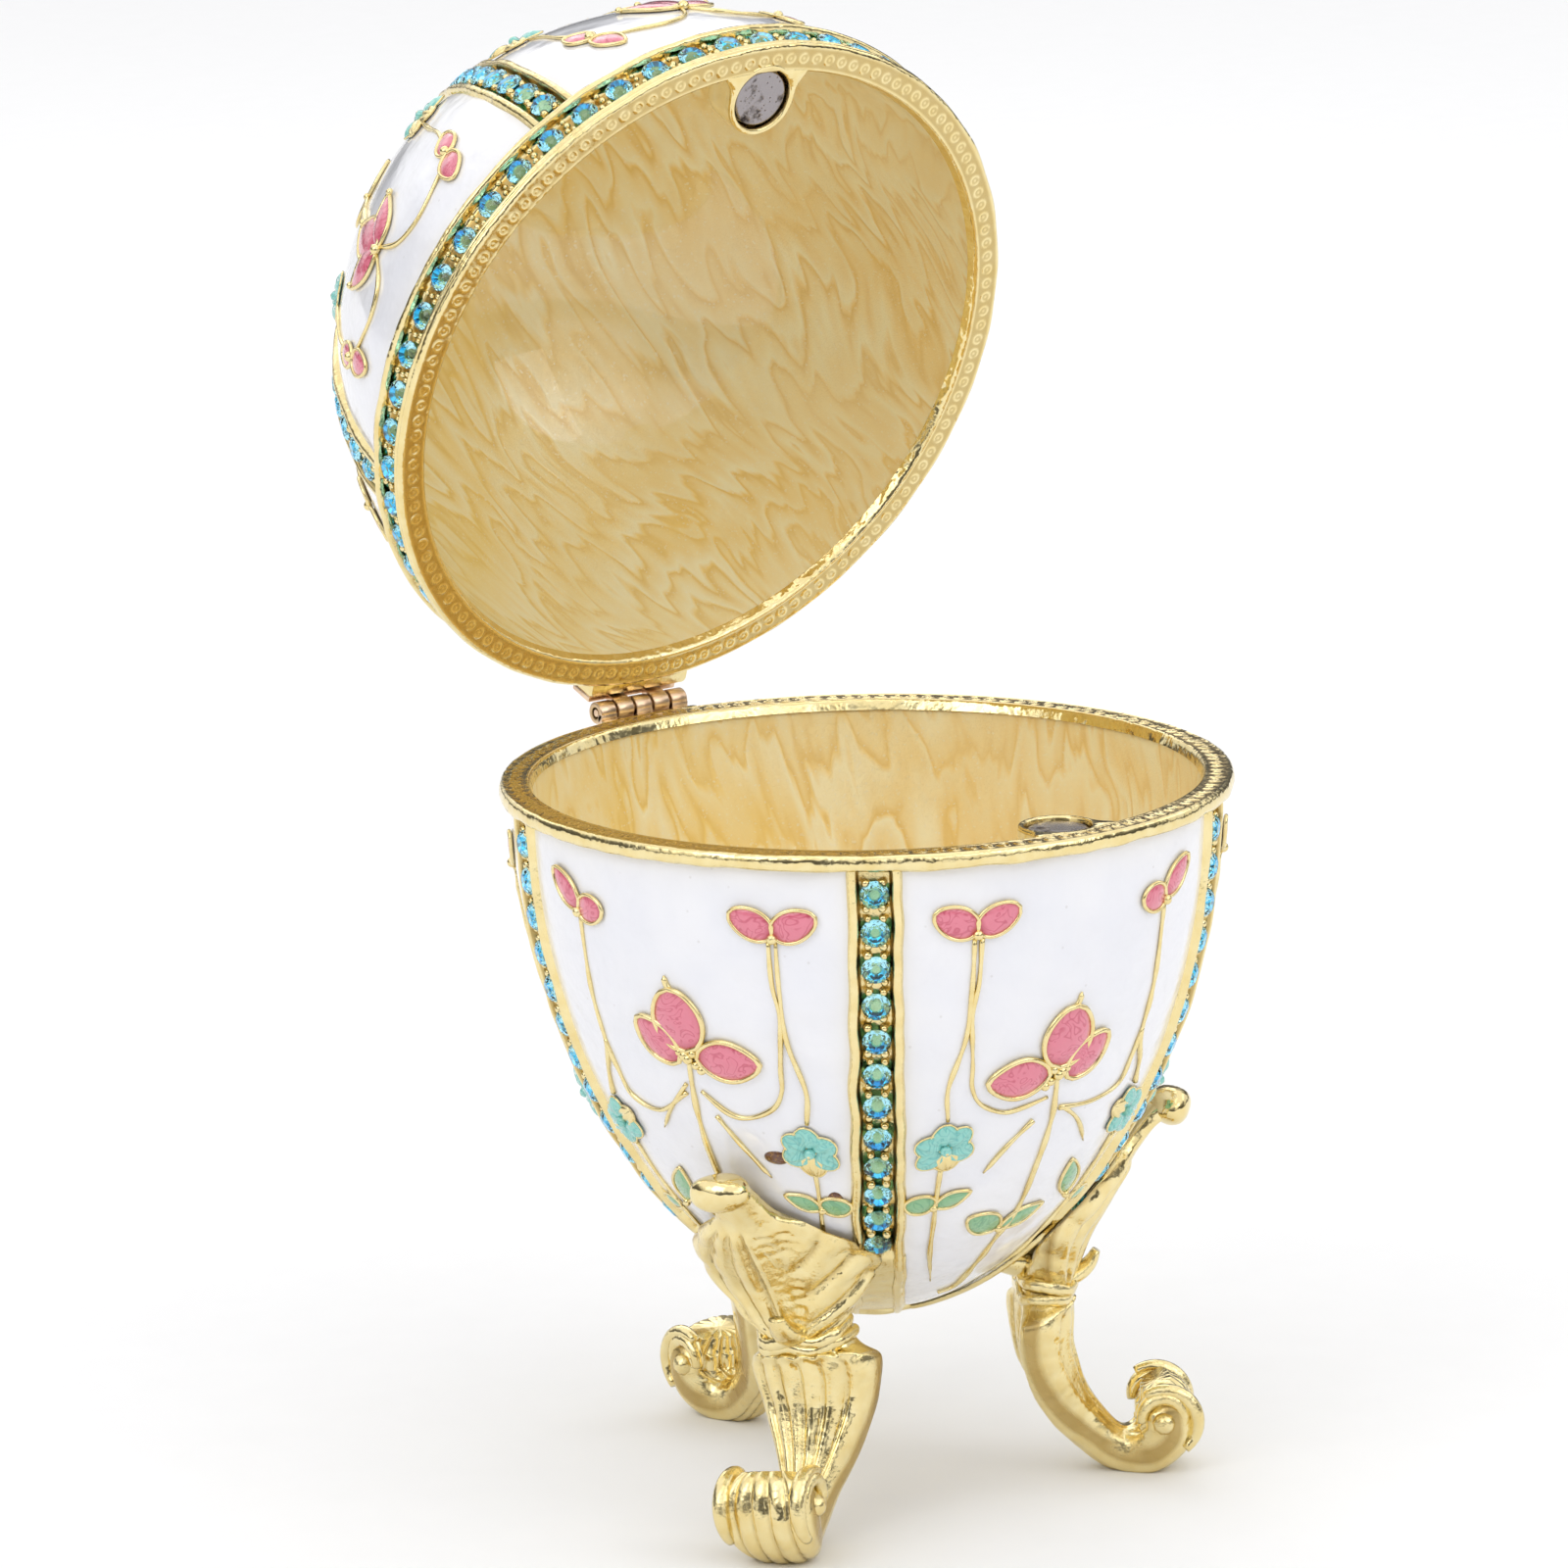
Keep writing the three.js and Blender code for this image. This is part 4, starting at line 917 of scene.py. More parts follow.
def dropBasePanel(piles, view, raised, seed):
    wire = lambda points, **more: dropWire(piles["gold"], view, points, seed=seed, **more)
    x0, s0 = -1.0, 19.0 - raised  # the flower's knot
    # the two bows under the rim
    dropBow(piles, view, (-10.0, 5.3), [(157, 3.9, 2.6, 0.15), (25, 3.8, 2.5, 0.1)])
    dropBow(piles, view, (8.9, 5.4), [(176, 3.0, 2.4, 0.1), (40, 4.3, 2.2, 0.25)])
    wire([(-10.2, 6.0), (-10.0, 10.6), (-9.9, 14.7), (-10.5, 19.2), (-9.8, 22.5)])
    wire([(-9.6, 6.0), (-9.5, 9.7), (-9.7, 12.7), (-8.9, 17.2), (-8.5, 19.4), (-7.4, 21.1), (-5.2, 22.2),
          (-3.4, 22.0), (-1.3, 21.4 - raised * 0.6)])
    wire([(8.9, 5.8), (8.9, 12.9), (8.5, 17.6), (9.4, 20.4), (9.8, 22.6)])
    wire([(8.5, 17.0), (7.8, 19.6), (6.9, 22.0), (3.8, 22.9), (0.2, 22.7 - raised)])
    tail = [(0.0, 19.6), (2.4, 22.4), (4.0, 24.7)] if raised else [(0.8, 22.8), (2.9, 24.6), (4.6, 27.2)]
    wire(tail, taper=True)
    wire([(-2.1, 23.5 - raised * 0.5), (-4.0, 26.1), (-5.1, 28.5)], taper=True)
    # the flower of three broad petals round a knot, the top one with a gold point
    for dx, rise, angle, length, width, tip in (
        (0.05, 0.5, 83, 5.5, 4.6, 0.12), (1.0, -0.6, 45, 5.0, 3.1, 0.25), (-0.8, 0.0, 181, 5.5, 3.6, 0.35),
    ):
        dropPetal(piles["rose"], piles["gold"], view, (x0 + dx, s0 - rise), angle, length, width, tip=tip,
                  belly=0.92, dome=0.46, base=0.22, wire=0.46)
    wire([(x0 + 0.6, s0 - 5.8), (x0 + 0.95, s0 - 6.3), (x0 + 1.1, s0 - 7.0)], width=0.5, taper=True)
    for dx, rise, size in (
        (0.3, 0.1, 0.5), (-0.5, 0.35, 0.4), (0.75, 0.35, 0.38), (-1.0, -1.1, 0.42), (-0.6, -0.7, 0.4),
    ):
        dropBall(piles["gold"], view, x0 + dx, s0 - rise, size, 0.25)
    wire([(x0 + 0.1, s0 + 0.2), (-0.6, 21.0 - raised * 0.8), (-0.2, 23.9), (-0.1, 28.8), (0.1, 33.5), (-0.4, 37.5),
          (-0.4, 42.4), (-0.2, 45.4), (-1.2, 46.4)], width=0.46)
    dropBall(piles["gold"], view, x0, s0 + 0.15, 0.5, 0.3)
    # the two small flowers, their stems and the leaves
    dropRosette(piles, view, -9.3, 25.3, 2.5, (4,), seed)
    dropRosette(piles, view, 9.7, 25.4, 2.45, (2,), seed + 1)
    wire([(-9.0, 27.6), (-8.5, 30.0), (-7.6, 33.3), (-6.0, 38.2), (-3.6, 43.2)], taper=True)
    wire([(9.2, 27.6), (8.2, 31.0), (6.6, 35.5), (5.2, 40.0), (3.4, 44.2)], taper=True)
    dropLeaves(piles, view, (
        ((-8.2, 31.8), 165, 2.6, 2.1, 0.15), ((-8.2, 31.8), 30, 3.0, 1.8, 0.6), ((-1.1, 35.7), 150, 3.9, 2.5, 0.35),
        ((-0.9, 35.7), 30, 4.2, 2.1, 0.7), ((5.5, 33.4), 108, 4.6, 2.2, 0.6), ((6.9, 34.6), 22, 2.4, 1.7, 0.4),
    ))
    for x, s in ((-8.2, 31.9), (-1.0, 35.8), (5.5, 33.5)):
        dropBall(piles["gold"], view, x, s, 0.36, 0.22)


def dropLidPanel(piles, view, seed):
    # s is mm up the lid's outline from the rail of the stone channel; the bows are nearest the rim
    wire = lambda points, **more: dropWire(piles["gold"], view, points, seed=seed, **more)
    dropBow(piles, view, (-9.6, 6.8), [(75, 3.4, 2.3, 0.3), (-105, 3.0, 2.2, 0.3)])
    dropBow(piles, view, (9.6, 6.6), [(100, 3.4, 2.3, 0.3), (-80, 3.0, 2.2, 0.3)])
    x0, s0 = 0.4, 8.4
    for angle, length, width, tip in ((-90, 6.4, 3.8, 0.6), (-140, 5.2, 2.9, 0.6), (-32, 5.2, 2.9, 0.6)):
        dropPetal(piles["rose"], piles["gold"], view, (x0, s0), angle, length, width, tip=tip, belly=0.8, bend=0.05,
                  dome=0.46, base=0.22, wire=0.36)
        turned = math.radians(angle)
        dropBall(piles["gold"], view, x0 + length * math.cos(turned), s0 - length * math.sin(turned), 0.34, 0.3)
    dropBall(piles["gold"], view, x0, s0 - 0.1, 0.5, 0.3)
    dropRosette(piles, view, -8.6, 19.6, 2.4, (1, 2), seed)
    dropRosette(piles, view, 8.6, 19.4, 2.4, (4,), seed + 1)
    wire([(-9.5, 7.4), (-9.9, 11.0), (-9.2, 14.5), (-8.7, 17.4)])
    wire([(9.5, 7.4), (9.9, 11.0), (9.1, 14.5), (8.7, 17.2)])
    wire([(0.3, 8.6), (-1.4, 5.6), (-4.2, 4.6), (-7.6, 5.6), (-9.4, 6.6)])
    wire([(0.5, 8.6), (2.2, 5.8), (4.8, 4.9), (7.8, 5.7), (9.4, 6.6)])
    wire([(-8.2, 21.6), (-6.6, 24.8), (-4.4, 28.0), (-3.0, 30.0)], taper=True)
    wire([(8.2, 21.6), (6.4, 24.8), (4.2, 28.0), (2.8, 30.0)], taper=True)
    wire([(0.4, 15.0), (0.1, 19.0), (-0.2, 23.5), (0.1, 28.0), (0.0, 31.4)], width=0.46, taper=True)
    dropLeaves(piles, view, (
        ((-0.1, 21.5), -30, 3.6, 2.0, 0.6), ((-0.1, 21.5), -150, 3.6, 2.1, 0.4),
        ((5.4, 26.0), -70, 3.0, 1.8, 0.5), ((-5.6, 26.0), -110, 3.0, 1.8, 0.5),
    ))
    dropBall(piles["gold"], view, -0.1, 21.5, 0.36, 0.22)


baseOrnament, lidOrnament = newOrnament(), newOrnament()
for panel in range(ribLayout["count"]):
    mirror = 1 if panel in (0, 2, 3) else -1
    dropBasePanel(baseOrnament, viewOf(baseCurve, panel, mirror), 2.2 if panel == 4 else 0.0, 500 + 10 * panel)
    dropLidPanel(lidOrnament, viewOf(lidCurve, panel, mirror, lidFrom), 600 + 10 * panel)
finishOrnament("baseOrnament", baseOrnament, toBase, "base", "base_shell")
finishOrnament("lidOrnament", lidOrnament, toLid, "lid", "lid_shell")
print("ornament laid")


# A magnet sits in a rounded lug behind the front of each rim: gold round the pocket, enamel below.
magnetLook = {"at": 25.15, "lug": 3.2, "fillet": 1.6, "filletRun": 2.7, "pocket": 2.7, "pocketDepth": 1.5,
              "lugDepth": 3.8, "top": 0.3, "reach": 27.85}


def lugOutline(count):
    # distance from the pocket's middle to the lug's edge in each direction; the rim side runs out to the wall
    reach = []
    for angle in np.linspace(0, 2 * math.pi, count, endpoint=False):
        c, d = math.cos(angle), math.sin(angle)
        length = magnetLook["lug"]
        while d < 0:
            x, y = c * length, -magnetLook["at"] + d * length
            share = max(0.0, (-magnetLook["at"] - y) / magnetLook["filletRun"])
            half = magnetLook["lug"] + magnetLook["fillet"] * share**2.5
            if abs(x) > half or math.hypot(x, y) > magnetLook["reach"]:
                break
            length += 0.02
        reach.append(length)
    return np.array(reach)


def makeLug(body, side, place, glaze):
    count = 96
    angle = np.linspace(0, 2 * math.pi, count, endpoint=False)
    reach = lugOutline(count)
    deep, depth = magnetLook["pocketDepth"], magnetLook["lugDepth"]
    hole = np.full(count, magnetLook["pocket"])

    def ring(radius, height):
        x, y = radius * np.cos(angle), radius * np.sin(angle) - magnetLook["at"]
        return np.stack([x, y, np.full(count, side * height)], -1)

    metal, glazed, disc = newPile(), newPile(), newPile()
    rows = [ring(hole * 0.02, deep), ring(hole * 0.97, deep), ring(hole, deep - 0.05), ring(hole, 0.14)]
    rows += [ring(hole + 0.05, 0.04), ring(hole + 0.14, -0.015), ring(reach - 0.16, -0.02), ring(reach - 0.04, 0.04)]
    rows += [ring(reach, 0.16), ring(reach, 0.34)]
    # painted shade: the magnet's pocket, floor and wall, is marked for darker gold, and the lug's outer edge a little
    dark = np.repeat([1.0, 1.0, 1.0, 0.5, 0, 0, 0, 0, 0, 0.2], count)
    dropGrid(metal, np.array(rows), wrap=True, hollow=dark)
    below = [ring(reach, 0.3)] + [ring(reach - 0.02 * k, h) for k, h in enumerate((0.8, 1.4, 2.0, 2.6, 3.0))]
    rounded = ((0.97, 0.45), (0.9, 0.18), (0.78, 0.04), (0.5, 0.0), (0.01, 0.0))
    below += [ring(reach * share, depth - short) for share, short in rounded]
    dropGrid(glazed, np.array(below), wrap=True)
    shell = (body + "_shell",)
    finishPiece(body + "LugMetal", metal, goldPolished, place, body, "gold_plate", stands=shell, closed=True,
                sharp=50)
    finishPiece(body + "LugEnamel", glazed, glaze, place, body, "pearl_enamel", stands=shell, closed=True)
    profile = ((0.02, 0.0), (0.8, 0.0), (1.6, 0.0), (2.25, 0.0), (2.36, 0.02), (2.43, 0.08), (2.45, 0.18),
               (2.45, 0.95), (2.4, 1.0), (0.02, 1.0))
    dropGrid(disc, np.array([ring(np.full(count, r), magnetLook["top"] + h) for r, h in profile]), wrap=True)
    finishPiece(body + "Magnet", disc, magnetNickel, place, body, "magnet_nickel", stands=("magnet_" + body,),
                closed=True, sharp=50)


makeLug("base", -1, toBase, pearlBase)
makeLug("lid", 1, toLid, pearlLid)


# The hinge: rolled knuckles on two leaves, each on a flat seat at the back of its rim.
hingeLook = {"knuckle": 0.95, "bore": 0.5, "pin": 0.36, "step": 1.85, "length": 1.6, "leafThick": 0.6,
             "leafDrop": 3.7, "clear": 1.2, "seatHalf": 5.0, "seatDrop": 4.5, "seatSet": 0.15, "seatRoot": 28.2,
             "seatFace": 30.83}


def dropSlab(pile, x, y, z, ease):
    # a flat block whose edges are eased
    def ring(inset, height):
        a, b, c, d = x[0] + inset, x[1] - inset, y[0] + inset, y[1] - inset
        e, f = ease, ease * 0.3
        corners = [(a + e, c), (b - e, c), (b - f, c + f), (b, c + e), (b, d - e), (b - f, d - f), (b - e, d),
                   (a + e, d), (a + f, d - f), (a, d - e), (a, c + e), (a + f, c + f)]
        return [(*corner, height) for corner in corners]

    rings = [ring(ease, z[0]), ring(ease * 0.3, z[0] + ease * 0.3), ring(0, z[0] + ease), ring(0, z[1] - ease),
             ring(ease * 0.3, z[1] - ease * 0.3), ring(ease, z[1])]
    dropTube(pile, np.array(rings))


def dropKnuckle(pile, x0, x1, radius, hole):
    end = ((0.35, hole), (0.03, hole), (0.0, hole + 0.06), (0.0, radius - 0.1), (0.04, radius - 0.03), (0.1, radius))
    rows = [(x0 + inset, r) for inset, r in end] + [(x1 - inset, r) for inset, r in end[::-1]]
    # painted shade: the bore and the inner part of each end face are marked for darker brass
    dark = [1.0, 1.0, 0.6, 0.2, 0, 0]
    a = np.linspace(0, 2 * math.pi, 40, endpoint=False)
    rings = np.array([[(x, r * math.cos(t), r * math.sin(t)) for t in a] for x, r in rows])
    dropGrid(pile, rings, wrap=True, hollow=np.repeat(dark + dark[::-1], len(a)))


def makeHinge():
    look = hingeLook
    barrel = [(k - 2.5) * look["step"] + 0.125 for k in range(5)]
    y = (-look["knuckle"], -look["knuckle"] + look["leafThick"])
    lidHinge = toLid @ Matrix.Translation((0, back, up - egg["rimGap"]))
    for side, body, leafPlace, seatPlace in ((-1, "base", atHinge, toBase), (1, "lid", lidHinge, toLid)):
        leaf, seat = newPile(), newPile()
        plate = sorted((side * look["clear"], side * look["leafDrop"]))
        dropSlab(leaf, (barrel[0], barrel[4] + look["length"]), y, plate, 0.12)
        for k, x in enumerate(barrel):
            if (k % 2 == 0) == (side < 0):
                dropKnuckle(leaf, x, x + look["length"], look["knuckle"], look["bore"])
                dropSlab(leaf, (x, x + look["length"]), y, sorted((0.0, side * (look["clear"] + 0.2))), 0.08)
        finishPiece("hingeLeaf" + body.title(), leaf, hingeBrass, leafPlace, body, "hinge_brass",
                    stands=("hinge_leaf_" + body,), closed=True, sharp=35)
        z = sorted((side * look["seatSet"], side * look["seatDrop"]))
        dropSlab(seat, (-look["seatHalf"], look["seatHalf"]), (look["seatRoot"], look["seatFace"]), z, 0.35)
        finishPiece("hingeSeat" + body.title(), seat, goldCast, seatPlace, body, "gold_plate",
                    stands=(body + "_shell",), closed=True, sharp=35)
    pin = newPile()
    a = np.linspace(0, 2 * math.pi, 24, endpoint=False)
    ends = (barrel[0] - 0.02, barrel[4] + look["length"] + 0.02)
    tip = ((0.08, 0.2), (0.1, look["pin"] - 0.04), (0.2, look["pin"]))
    rows = [(ends[0] + inset, r) for inset, r in tip] + [(ends[1] - inset, r) for inset, r in tip[::-1]]
    dropTube(pin, np.array([[(x, r * math.cos(t), r * math.sin(t)) for t in a] for x, r in rows]))
    finishPiece("hingePin", pin, hingeBrass, atHinge, "base", "hinge_brass", stands=("hinge_pin",), closed=True,
                sharp=40)


makeHinge()
print("magnets and hinge made")


# Each leg is one casting: a curl at the top, a fluted leaf that hugs the egg, a rolled collar, a
# fluted shell that narrows to the ankle, and a scroll foot of five lobes.
legPlaces = (("legFrontLeft", "leg_front_left", -62.0, 8.0), ("legFrontRight", "leg_front_right", 58.0, 0.0),
             ("legBack", "leg_back", 178.0, 0.0))  # the azimuth of each, and how far it leans, in degrees
legStations = [  # radius, height, half thickness, half width, bend, depth of the lobes outside and inside
    (25.4, 31.0, 0.6, 1.1, 0, 0, 0), (24.6, 31.2, 1.0, 1.8, 0, 0, 0), (23.0, 30.4, 0.9, 2.0, 0, 0, 0),
    (21.3, 28.3, 0.9, 2.6, 0.2, 0.1, 0), (20.2, 26.8, 1.0, 4.6, 0.8, 0.5, 0), (18.4, 24.2, 1.1, 7.0, 2.2, 0.65, 0),
    (16.6, 21.7, 1.3, 7.7, 3.0, 0.7, 0), (15.0, 19.0, 1.9, 5.6, 1.7, 0.55, 0), (14.3, 16.9, 2.1, 3.5, 0.5, 0.25, 0),
    (14.1, 15.5, 2.1, 4.0, 0.8, 0.2, 0.1), (14.2, 14.0, 1.9, 5.6, 1.8, 0.6, 0.2),
    (14.2, 10.8, 1.8, 5.0, 1.6, 0.75, 0.35), (15.2, 7.2, 1.85, 3.6, 0.9, 0.65, 0.4),
    (17.2, 4.2, 1.75, 2.3, 0.3, 0.35, 0.4), (19.8, 1.95, 1.8, 2.0, 0, 0.1, 0.35),
    (22.4, 1.75, 2.1, 3.2, 0, 0.5, 0.3), (24.2, 3.4, 2.1, 4.0, 0, 0.75, 0.5), (24.1, 5.8, 2.0, 3.9, 0, 0.7, 0.5),
    (23.4, 7.4, 1.2, 2.5, 0, 0.3, 0.2),
]
legLook = {"rowsPer": 13, "cols": 46, "side": 0.25, "round": 2.5, "grow": 0.62, "grit": 0.07, "leanAt": 17.0,
           "rimHeight": 60.42, "boss": (23.6, 3.55, 4.7), "bossSize": 1.05, "curl": (24.75, 31.15),
           "curlSize": (1.75, 2.65, 1.6)}
eggLines = [baseCurve["r"], baseCurve["z"] + legLook["rimHeight"], baseCurve["nr"], baseCurve["nz"]]
eggUnder = np.stack(eggLines, -1)[::8]


def lobed(share, count, shift=0.0):
    # rounded lobes side by side with sharp valleys between them, 0 in a valley and 1 on a lobe
    f = ((share * 0.5 + 0.5) * count + shift) % 1.0 * 2 - 1
    return np.sqrt(np.clip(1 - f * f, 0, 1))


def smoothStep(x):
    x = np.clip(x, 0, 1)
    return x * x * (3 - 2 * x)


def window(t, a, b, soft=0.6):
    return smoothStep((t - a) / soft) * smoothStep((b - t) / soft)


def outerRelief(t, v):
    # shape of the outer face, about -0.6 in a groove to 0.5 on a lobe, with how much painted shade its grooves get and
    # how grainy it is there
    fluted = lobed(v, 7)
    rolls = lobed((t + 1.5 * v) * 2.0 - 1.0, 1, 0.2)
    side = smoothStep((v - 0.26) / 0.16) * smoothStep((t - 4.7 + 0.5 * v) / 0.5)
    plain = smoothStep((v + 0.02) / 0.14) * (1 - side)
    leaf = (fluted * (1 - plain) + 0.62 * plain) * (1 - side) + rolls * side
    leafHere = window(t, 3.5, 8.3, 0.5)
    caps = lobed(v, 6)
    start = 9.15 + 0.45 * (1 - caps)
    shellHere = smoothStep((t - start) / 0.22) * (1 - smoothStep((t - 13.4) / 0.9))
    lip = 0.55 * np.exp(-(((t - start - 0.3) / 0.2) ** 2)) * (t > start)
    toes = lobed(v, 5)
    footHere = smoothStep((t - 14.1) / 1.1)
    relief = leafHere * (leaf - 0.6) + shellHere * (caps - 0.55 + lip) + footHere * (toes - 0.55)
    # painted shade: the deeper a groove between lobes, the darker the gold painted there
    deep = leafHere * (0.62 - leaf) * (1 - plain) + shellHere * (0.6 - caps) + footHere * (0.6 - toes)
    return relief, np.clip(deep * 2.0, 0, 1), leafHere * plain


def legSurface(seed):
    rows = smoothThrough(legStations, legLook["rowsPer"])
    t = np.linspace(0, len(legStations) - 1, len(rows))[:, None]
    centre = rows[:, :2]
    way = np.gradient(centre, axis=0)
    way /= np.linalg.norm(way, axis=1, keepdims=True)
    v = np.linspace(-1, 1, legLook["cols"])[None, :]
    v = 0.6 * v + 0.4 * np.sin(v * math.pi / 2)
    thick, wide, bend, outer, inner = (rows[:, k:k + 1] for k in range(2, 7))
    leftEdge = 0.07 * window(t, 3.8, 7.8) * np.abs(np.sin((t - 3.6) * math.pi * 0.95))
    rightEdge = 0.08 * window(t, 4.4, 8.0) * (np.abs(np.sin((t + 1.5) * 2 * math.pi * 0.5 + 0.6)) - 0.3)
    wide = wide * (1 + np.where(v < 0, leftEdge, rightEdge) * np.abs(v))
    rings, hollowShades = [], []
    for top in (True, False):
        bulge = np.sqrt(np.clip(1 - np.abs(v) ** legLook["round"], 0, 1))
        if top:
            relief, hollow, grain = outerRelief(t, v)
            relief = outer * relief * np.clip(bulge * 2.2, 0.3, 1) * 1.6
            grit = legLook["grit"] * grain
        else:
            here = smoothStep((t - 8.6) / 1.0)
            grooves = lobed(v, 5)
            relief = inner * here * (grooves - 0.6) * np.clip(bulge * 2, 0, 1)
            # painted shade in the inner face's grooves
            hollow, grit = np.clip((0.55 - grooves) * here * 1.6, 0, 1), 0.01
        height = thick * (legLook["side"] + (1 - legLook["side"]) * bulge) + relief
        lift = (height if top else -height) - bend * v * v
        out, high, along, rise = centre[:, :1], centre[:, 1:], way[:, :1], way[:, 1:]
        place = lambda h: np.stack([out - rise * h, wide * v + 0 * h, high + along * h], -1)
        points = place(lift)
        rough = grit * ripple(points, 0.8, seed) + 0.05 * ripple(points, 4.0, seed + 1)
        points = place(lift + rough * (1 if top else -1))
        hollow = hollow + 0 * lift
        rings.append(points if top else points[:, ::-1])
        hollowShades.append(hollow if top else hollow[:, ::-1])
    return np.concatenate(rings, 1), np.concatenate(hollowShades, 1), t[:, 0]


def standLeg(points, azimuth, lean):
    # from the leg's own plane to the ground frame, clear of the egg and of the ground
    p = np.asarray(points, float).reshape(-1, 3).copy()
    c, d = math.cos(math.radians(lean)), math.sin(math.radians(lean))
    y, z = p[:, 1].copy(), p[:, 2] - legLook["leanAt"]
    p[:, 1], p[:, 2] = c * y - d * z, d * y + c * z + legLook["leanAt"]
    a = math.radians(azimuth - 90)
    x, y = p[:, 0].copy(), p[:, 1].copy()
    p[:, 0], p[:, 1] = math.cos(a) * x - math.sin(a) * y, math.sin(a) * x + math.cos(a) * y
    radius = np.hypot(p[:, 0], p[:, 1])
    for start in range(0, len(p), 4000):
        part = slice(start, start + 4000)
        dr = radius[part, None] - eggUnder[None, :, 0]
        dz = p[part, 2, None] - eggUnder[None, :, 1]
        line = eggUnder[np.argmin(dr * dr + dz * dz, 1)]
        depth = (radius[part] - line[:, 0]) * line[:, 2] + (p[part, 2] - line[:, 1]) * line[:, 3]
        push = np.clip(legLook["grow"] - depth, 0, None)
        scale = (radius[part] + push * line[:, 2]) / np.maximum(radius[part], 1e-6)
        p[part, 0] *= scale
        p[part, 1] *= scale
        p[part, 2] += push * line[:, 3]
    p[:, 2] = np.maximum(p[:, 2], 0.0)
    return p.reshape(np.shape(points))


def roundRoll(path, across, wide, high, sides=14):
    # rings of a soft roll along a path; wide and high may change along it
    path, across = np.asarray(path, float), np.asarray(across, float)
    way = np.gradient(path, axis=0)
    way /= np.linalg.norm(way, axis=1, keepdims=True)
    over = np.cross(way, across)
    over /= np.linalg.norm(over, axis=1, keepdims=True)
    a = np.linspace(0, 2 * math.pi, sides, endpoint=False)[None, :, None]
    wide = np.broadcast_to(wide, len(path))[:, None, None]
    high = np.broadcast_to(high, len(path))[:, None, None]
    return path[:, None] + across[:, None] * np.cos(a) * wide / 2 + over[:, None] * np.sin(a) * high / 2


def makeLeg(name, node, azimuth, lean, seed):
    leg = newPile()
    stand = lambda points: standLeg(points, azimuth, lean)
    rings, hollow, t = legSurface(seed)
    dropTube(leg, stand(rings), hollow=hollow.reshape(-1))
    sideways = lambda count: np.tile([0.0, 1.0, 0.0], (count, 1))
    # the collar: two rolls round the waist, drawn from the casting's own section there
    for level, size, lump in ((8.05, 1.15, 0.10), (8.75, 1.0, 0.08)):
        ring = rings[int(np.argmin(np.abs(t - level)))]
        middle = ring.mean(0)
        loop = smoothThrough(np.vstack([ring[::6], ring[:1]]), 6)[:-1]
        loop = middle + (loop - middle) * np.array([1.04, 1.08, 1.04])
        loop[:, 2] += 0.25 * np.sin(loop[:, 1] * 1.4 + level)
        outward = loop - middle
        outward /= np.linalg.norm(outward, axis=1, keepdims=True)
        wave = size * (1 + lump * ripple(loop, 2.0, seed + 3))
        bead = newPile()
        sweep(bead, loop, outward, wave, wave * 0.8, sides=12, closed=True, sink=0.5)
        drop(leg, stand(np.vstack(bead["verts"])), bead["faces"])
    # the small leaf that curls out at the waist, and the seat under the egg
    curl = smoothThrough([(15.0, 0, 16.6), (16.6, 0, 16.9), (17.8, 0, 17.7), (18.5, 0, 18.9)], 6)
    size = np.linspace(0, 1, len(curl))
    dropTube(leg, stand(roundRoll(curl, sideways(len(curl)), 3.6 - 2.2 * size, 1.7 - 1.0 * size**2)))
    seat = smoothThrough([(14.6, 0, 17.6), (12.8, 0, 18.4), (10.9, 0, 19.1)], 6)
    dropTube(leg, stand(roundRoll(seat, sideways(len(seat)), 4.8, 3.6)))
    # round bosses and rolled ends at the sides of the scroll foot
    for side in (-1, 1):
        out, aside, high = legLook["boss"]
        boss, outer = stand(np.array([[out, side * aside, high], [out, side * (aside + 1), high]]))
        dropBead(leg, boss, outer - boss, np.array([0, 0, 1.0]), legLook["bossSize"])
        for radius, rise, start, stop, thick in ((1.75, 5.1, -30, 190, 1.35), (2.9, 4.6, -50, 120, 1.3)):
            a = np.radians(np.linspace(start, stop, 26))
            path = np.stack([23.5 + radius * np.cos(a), np.full(26, side * 3.45), rise + radius * np.sin(a)], -1)
            fat = thick * (0.55 + 0.45 * np.sin(np.linspace(0.2, math.pi - 0.2, 26)))
            dropTube(leg, stand(roundRoll(path, sideways(26), fat * 1.1, fat)))
    finishPiece(name, leg, goldCast, toGround, "base", "gold_plate", stands=(node,), closed=True)
    # the polished curl at the top
    turn = np.linspace(0, 2 * math.pi, 28, endpoint=False)[:, None]
    ball, (a, b, c) = [], legLook["curlSize"]
    for h in np.linspace(-0.985, 0.985, 19):
        flat = math.sqrt(1 - h * h) * (1 + 0.05 * np.sin(3 * turn + 2 * h))
        out, high = legLook["curl"][0] + a * flat * np.cos(turn), legLook["curl"][1] + c * flat * np.sin(turn)
        ball.append(np.hstack([out, 0 * turn + b * h, high]))
    curlPile = newPile()
    dropTube(curlPile, stand(np.array(ball)))
    finishPiece(name + "Curl", curlPile, goldPolished, toGround, "base", "gold_plate", stands=(node,), closed=True)


for index, (name, node, azimuth, lean) in enumerate(legPlaces):
    makeLeg(name, node, azimuth, lean, 700 + 20 * index)
print("legs made")


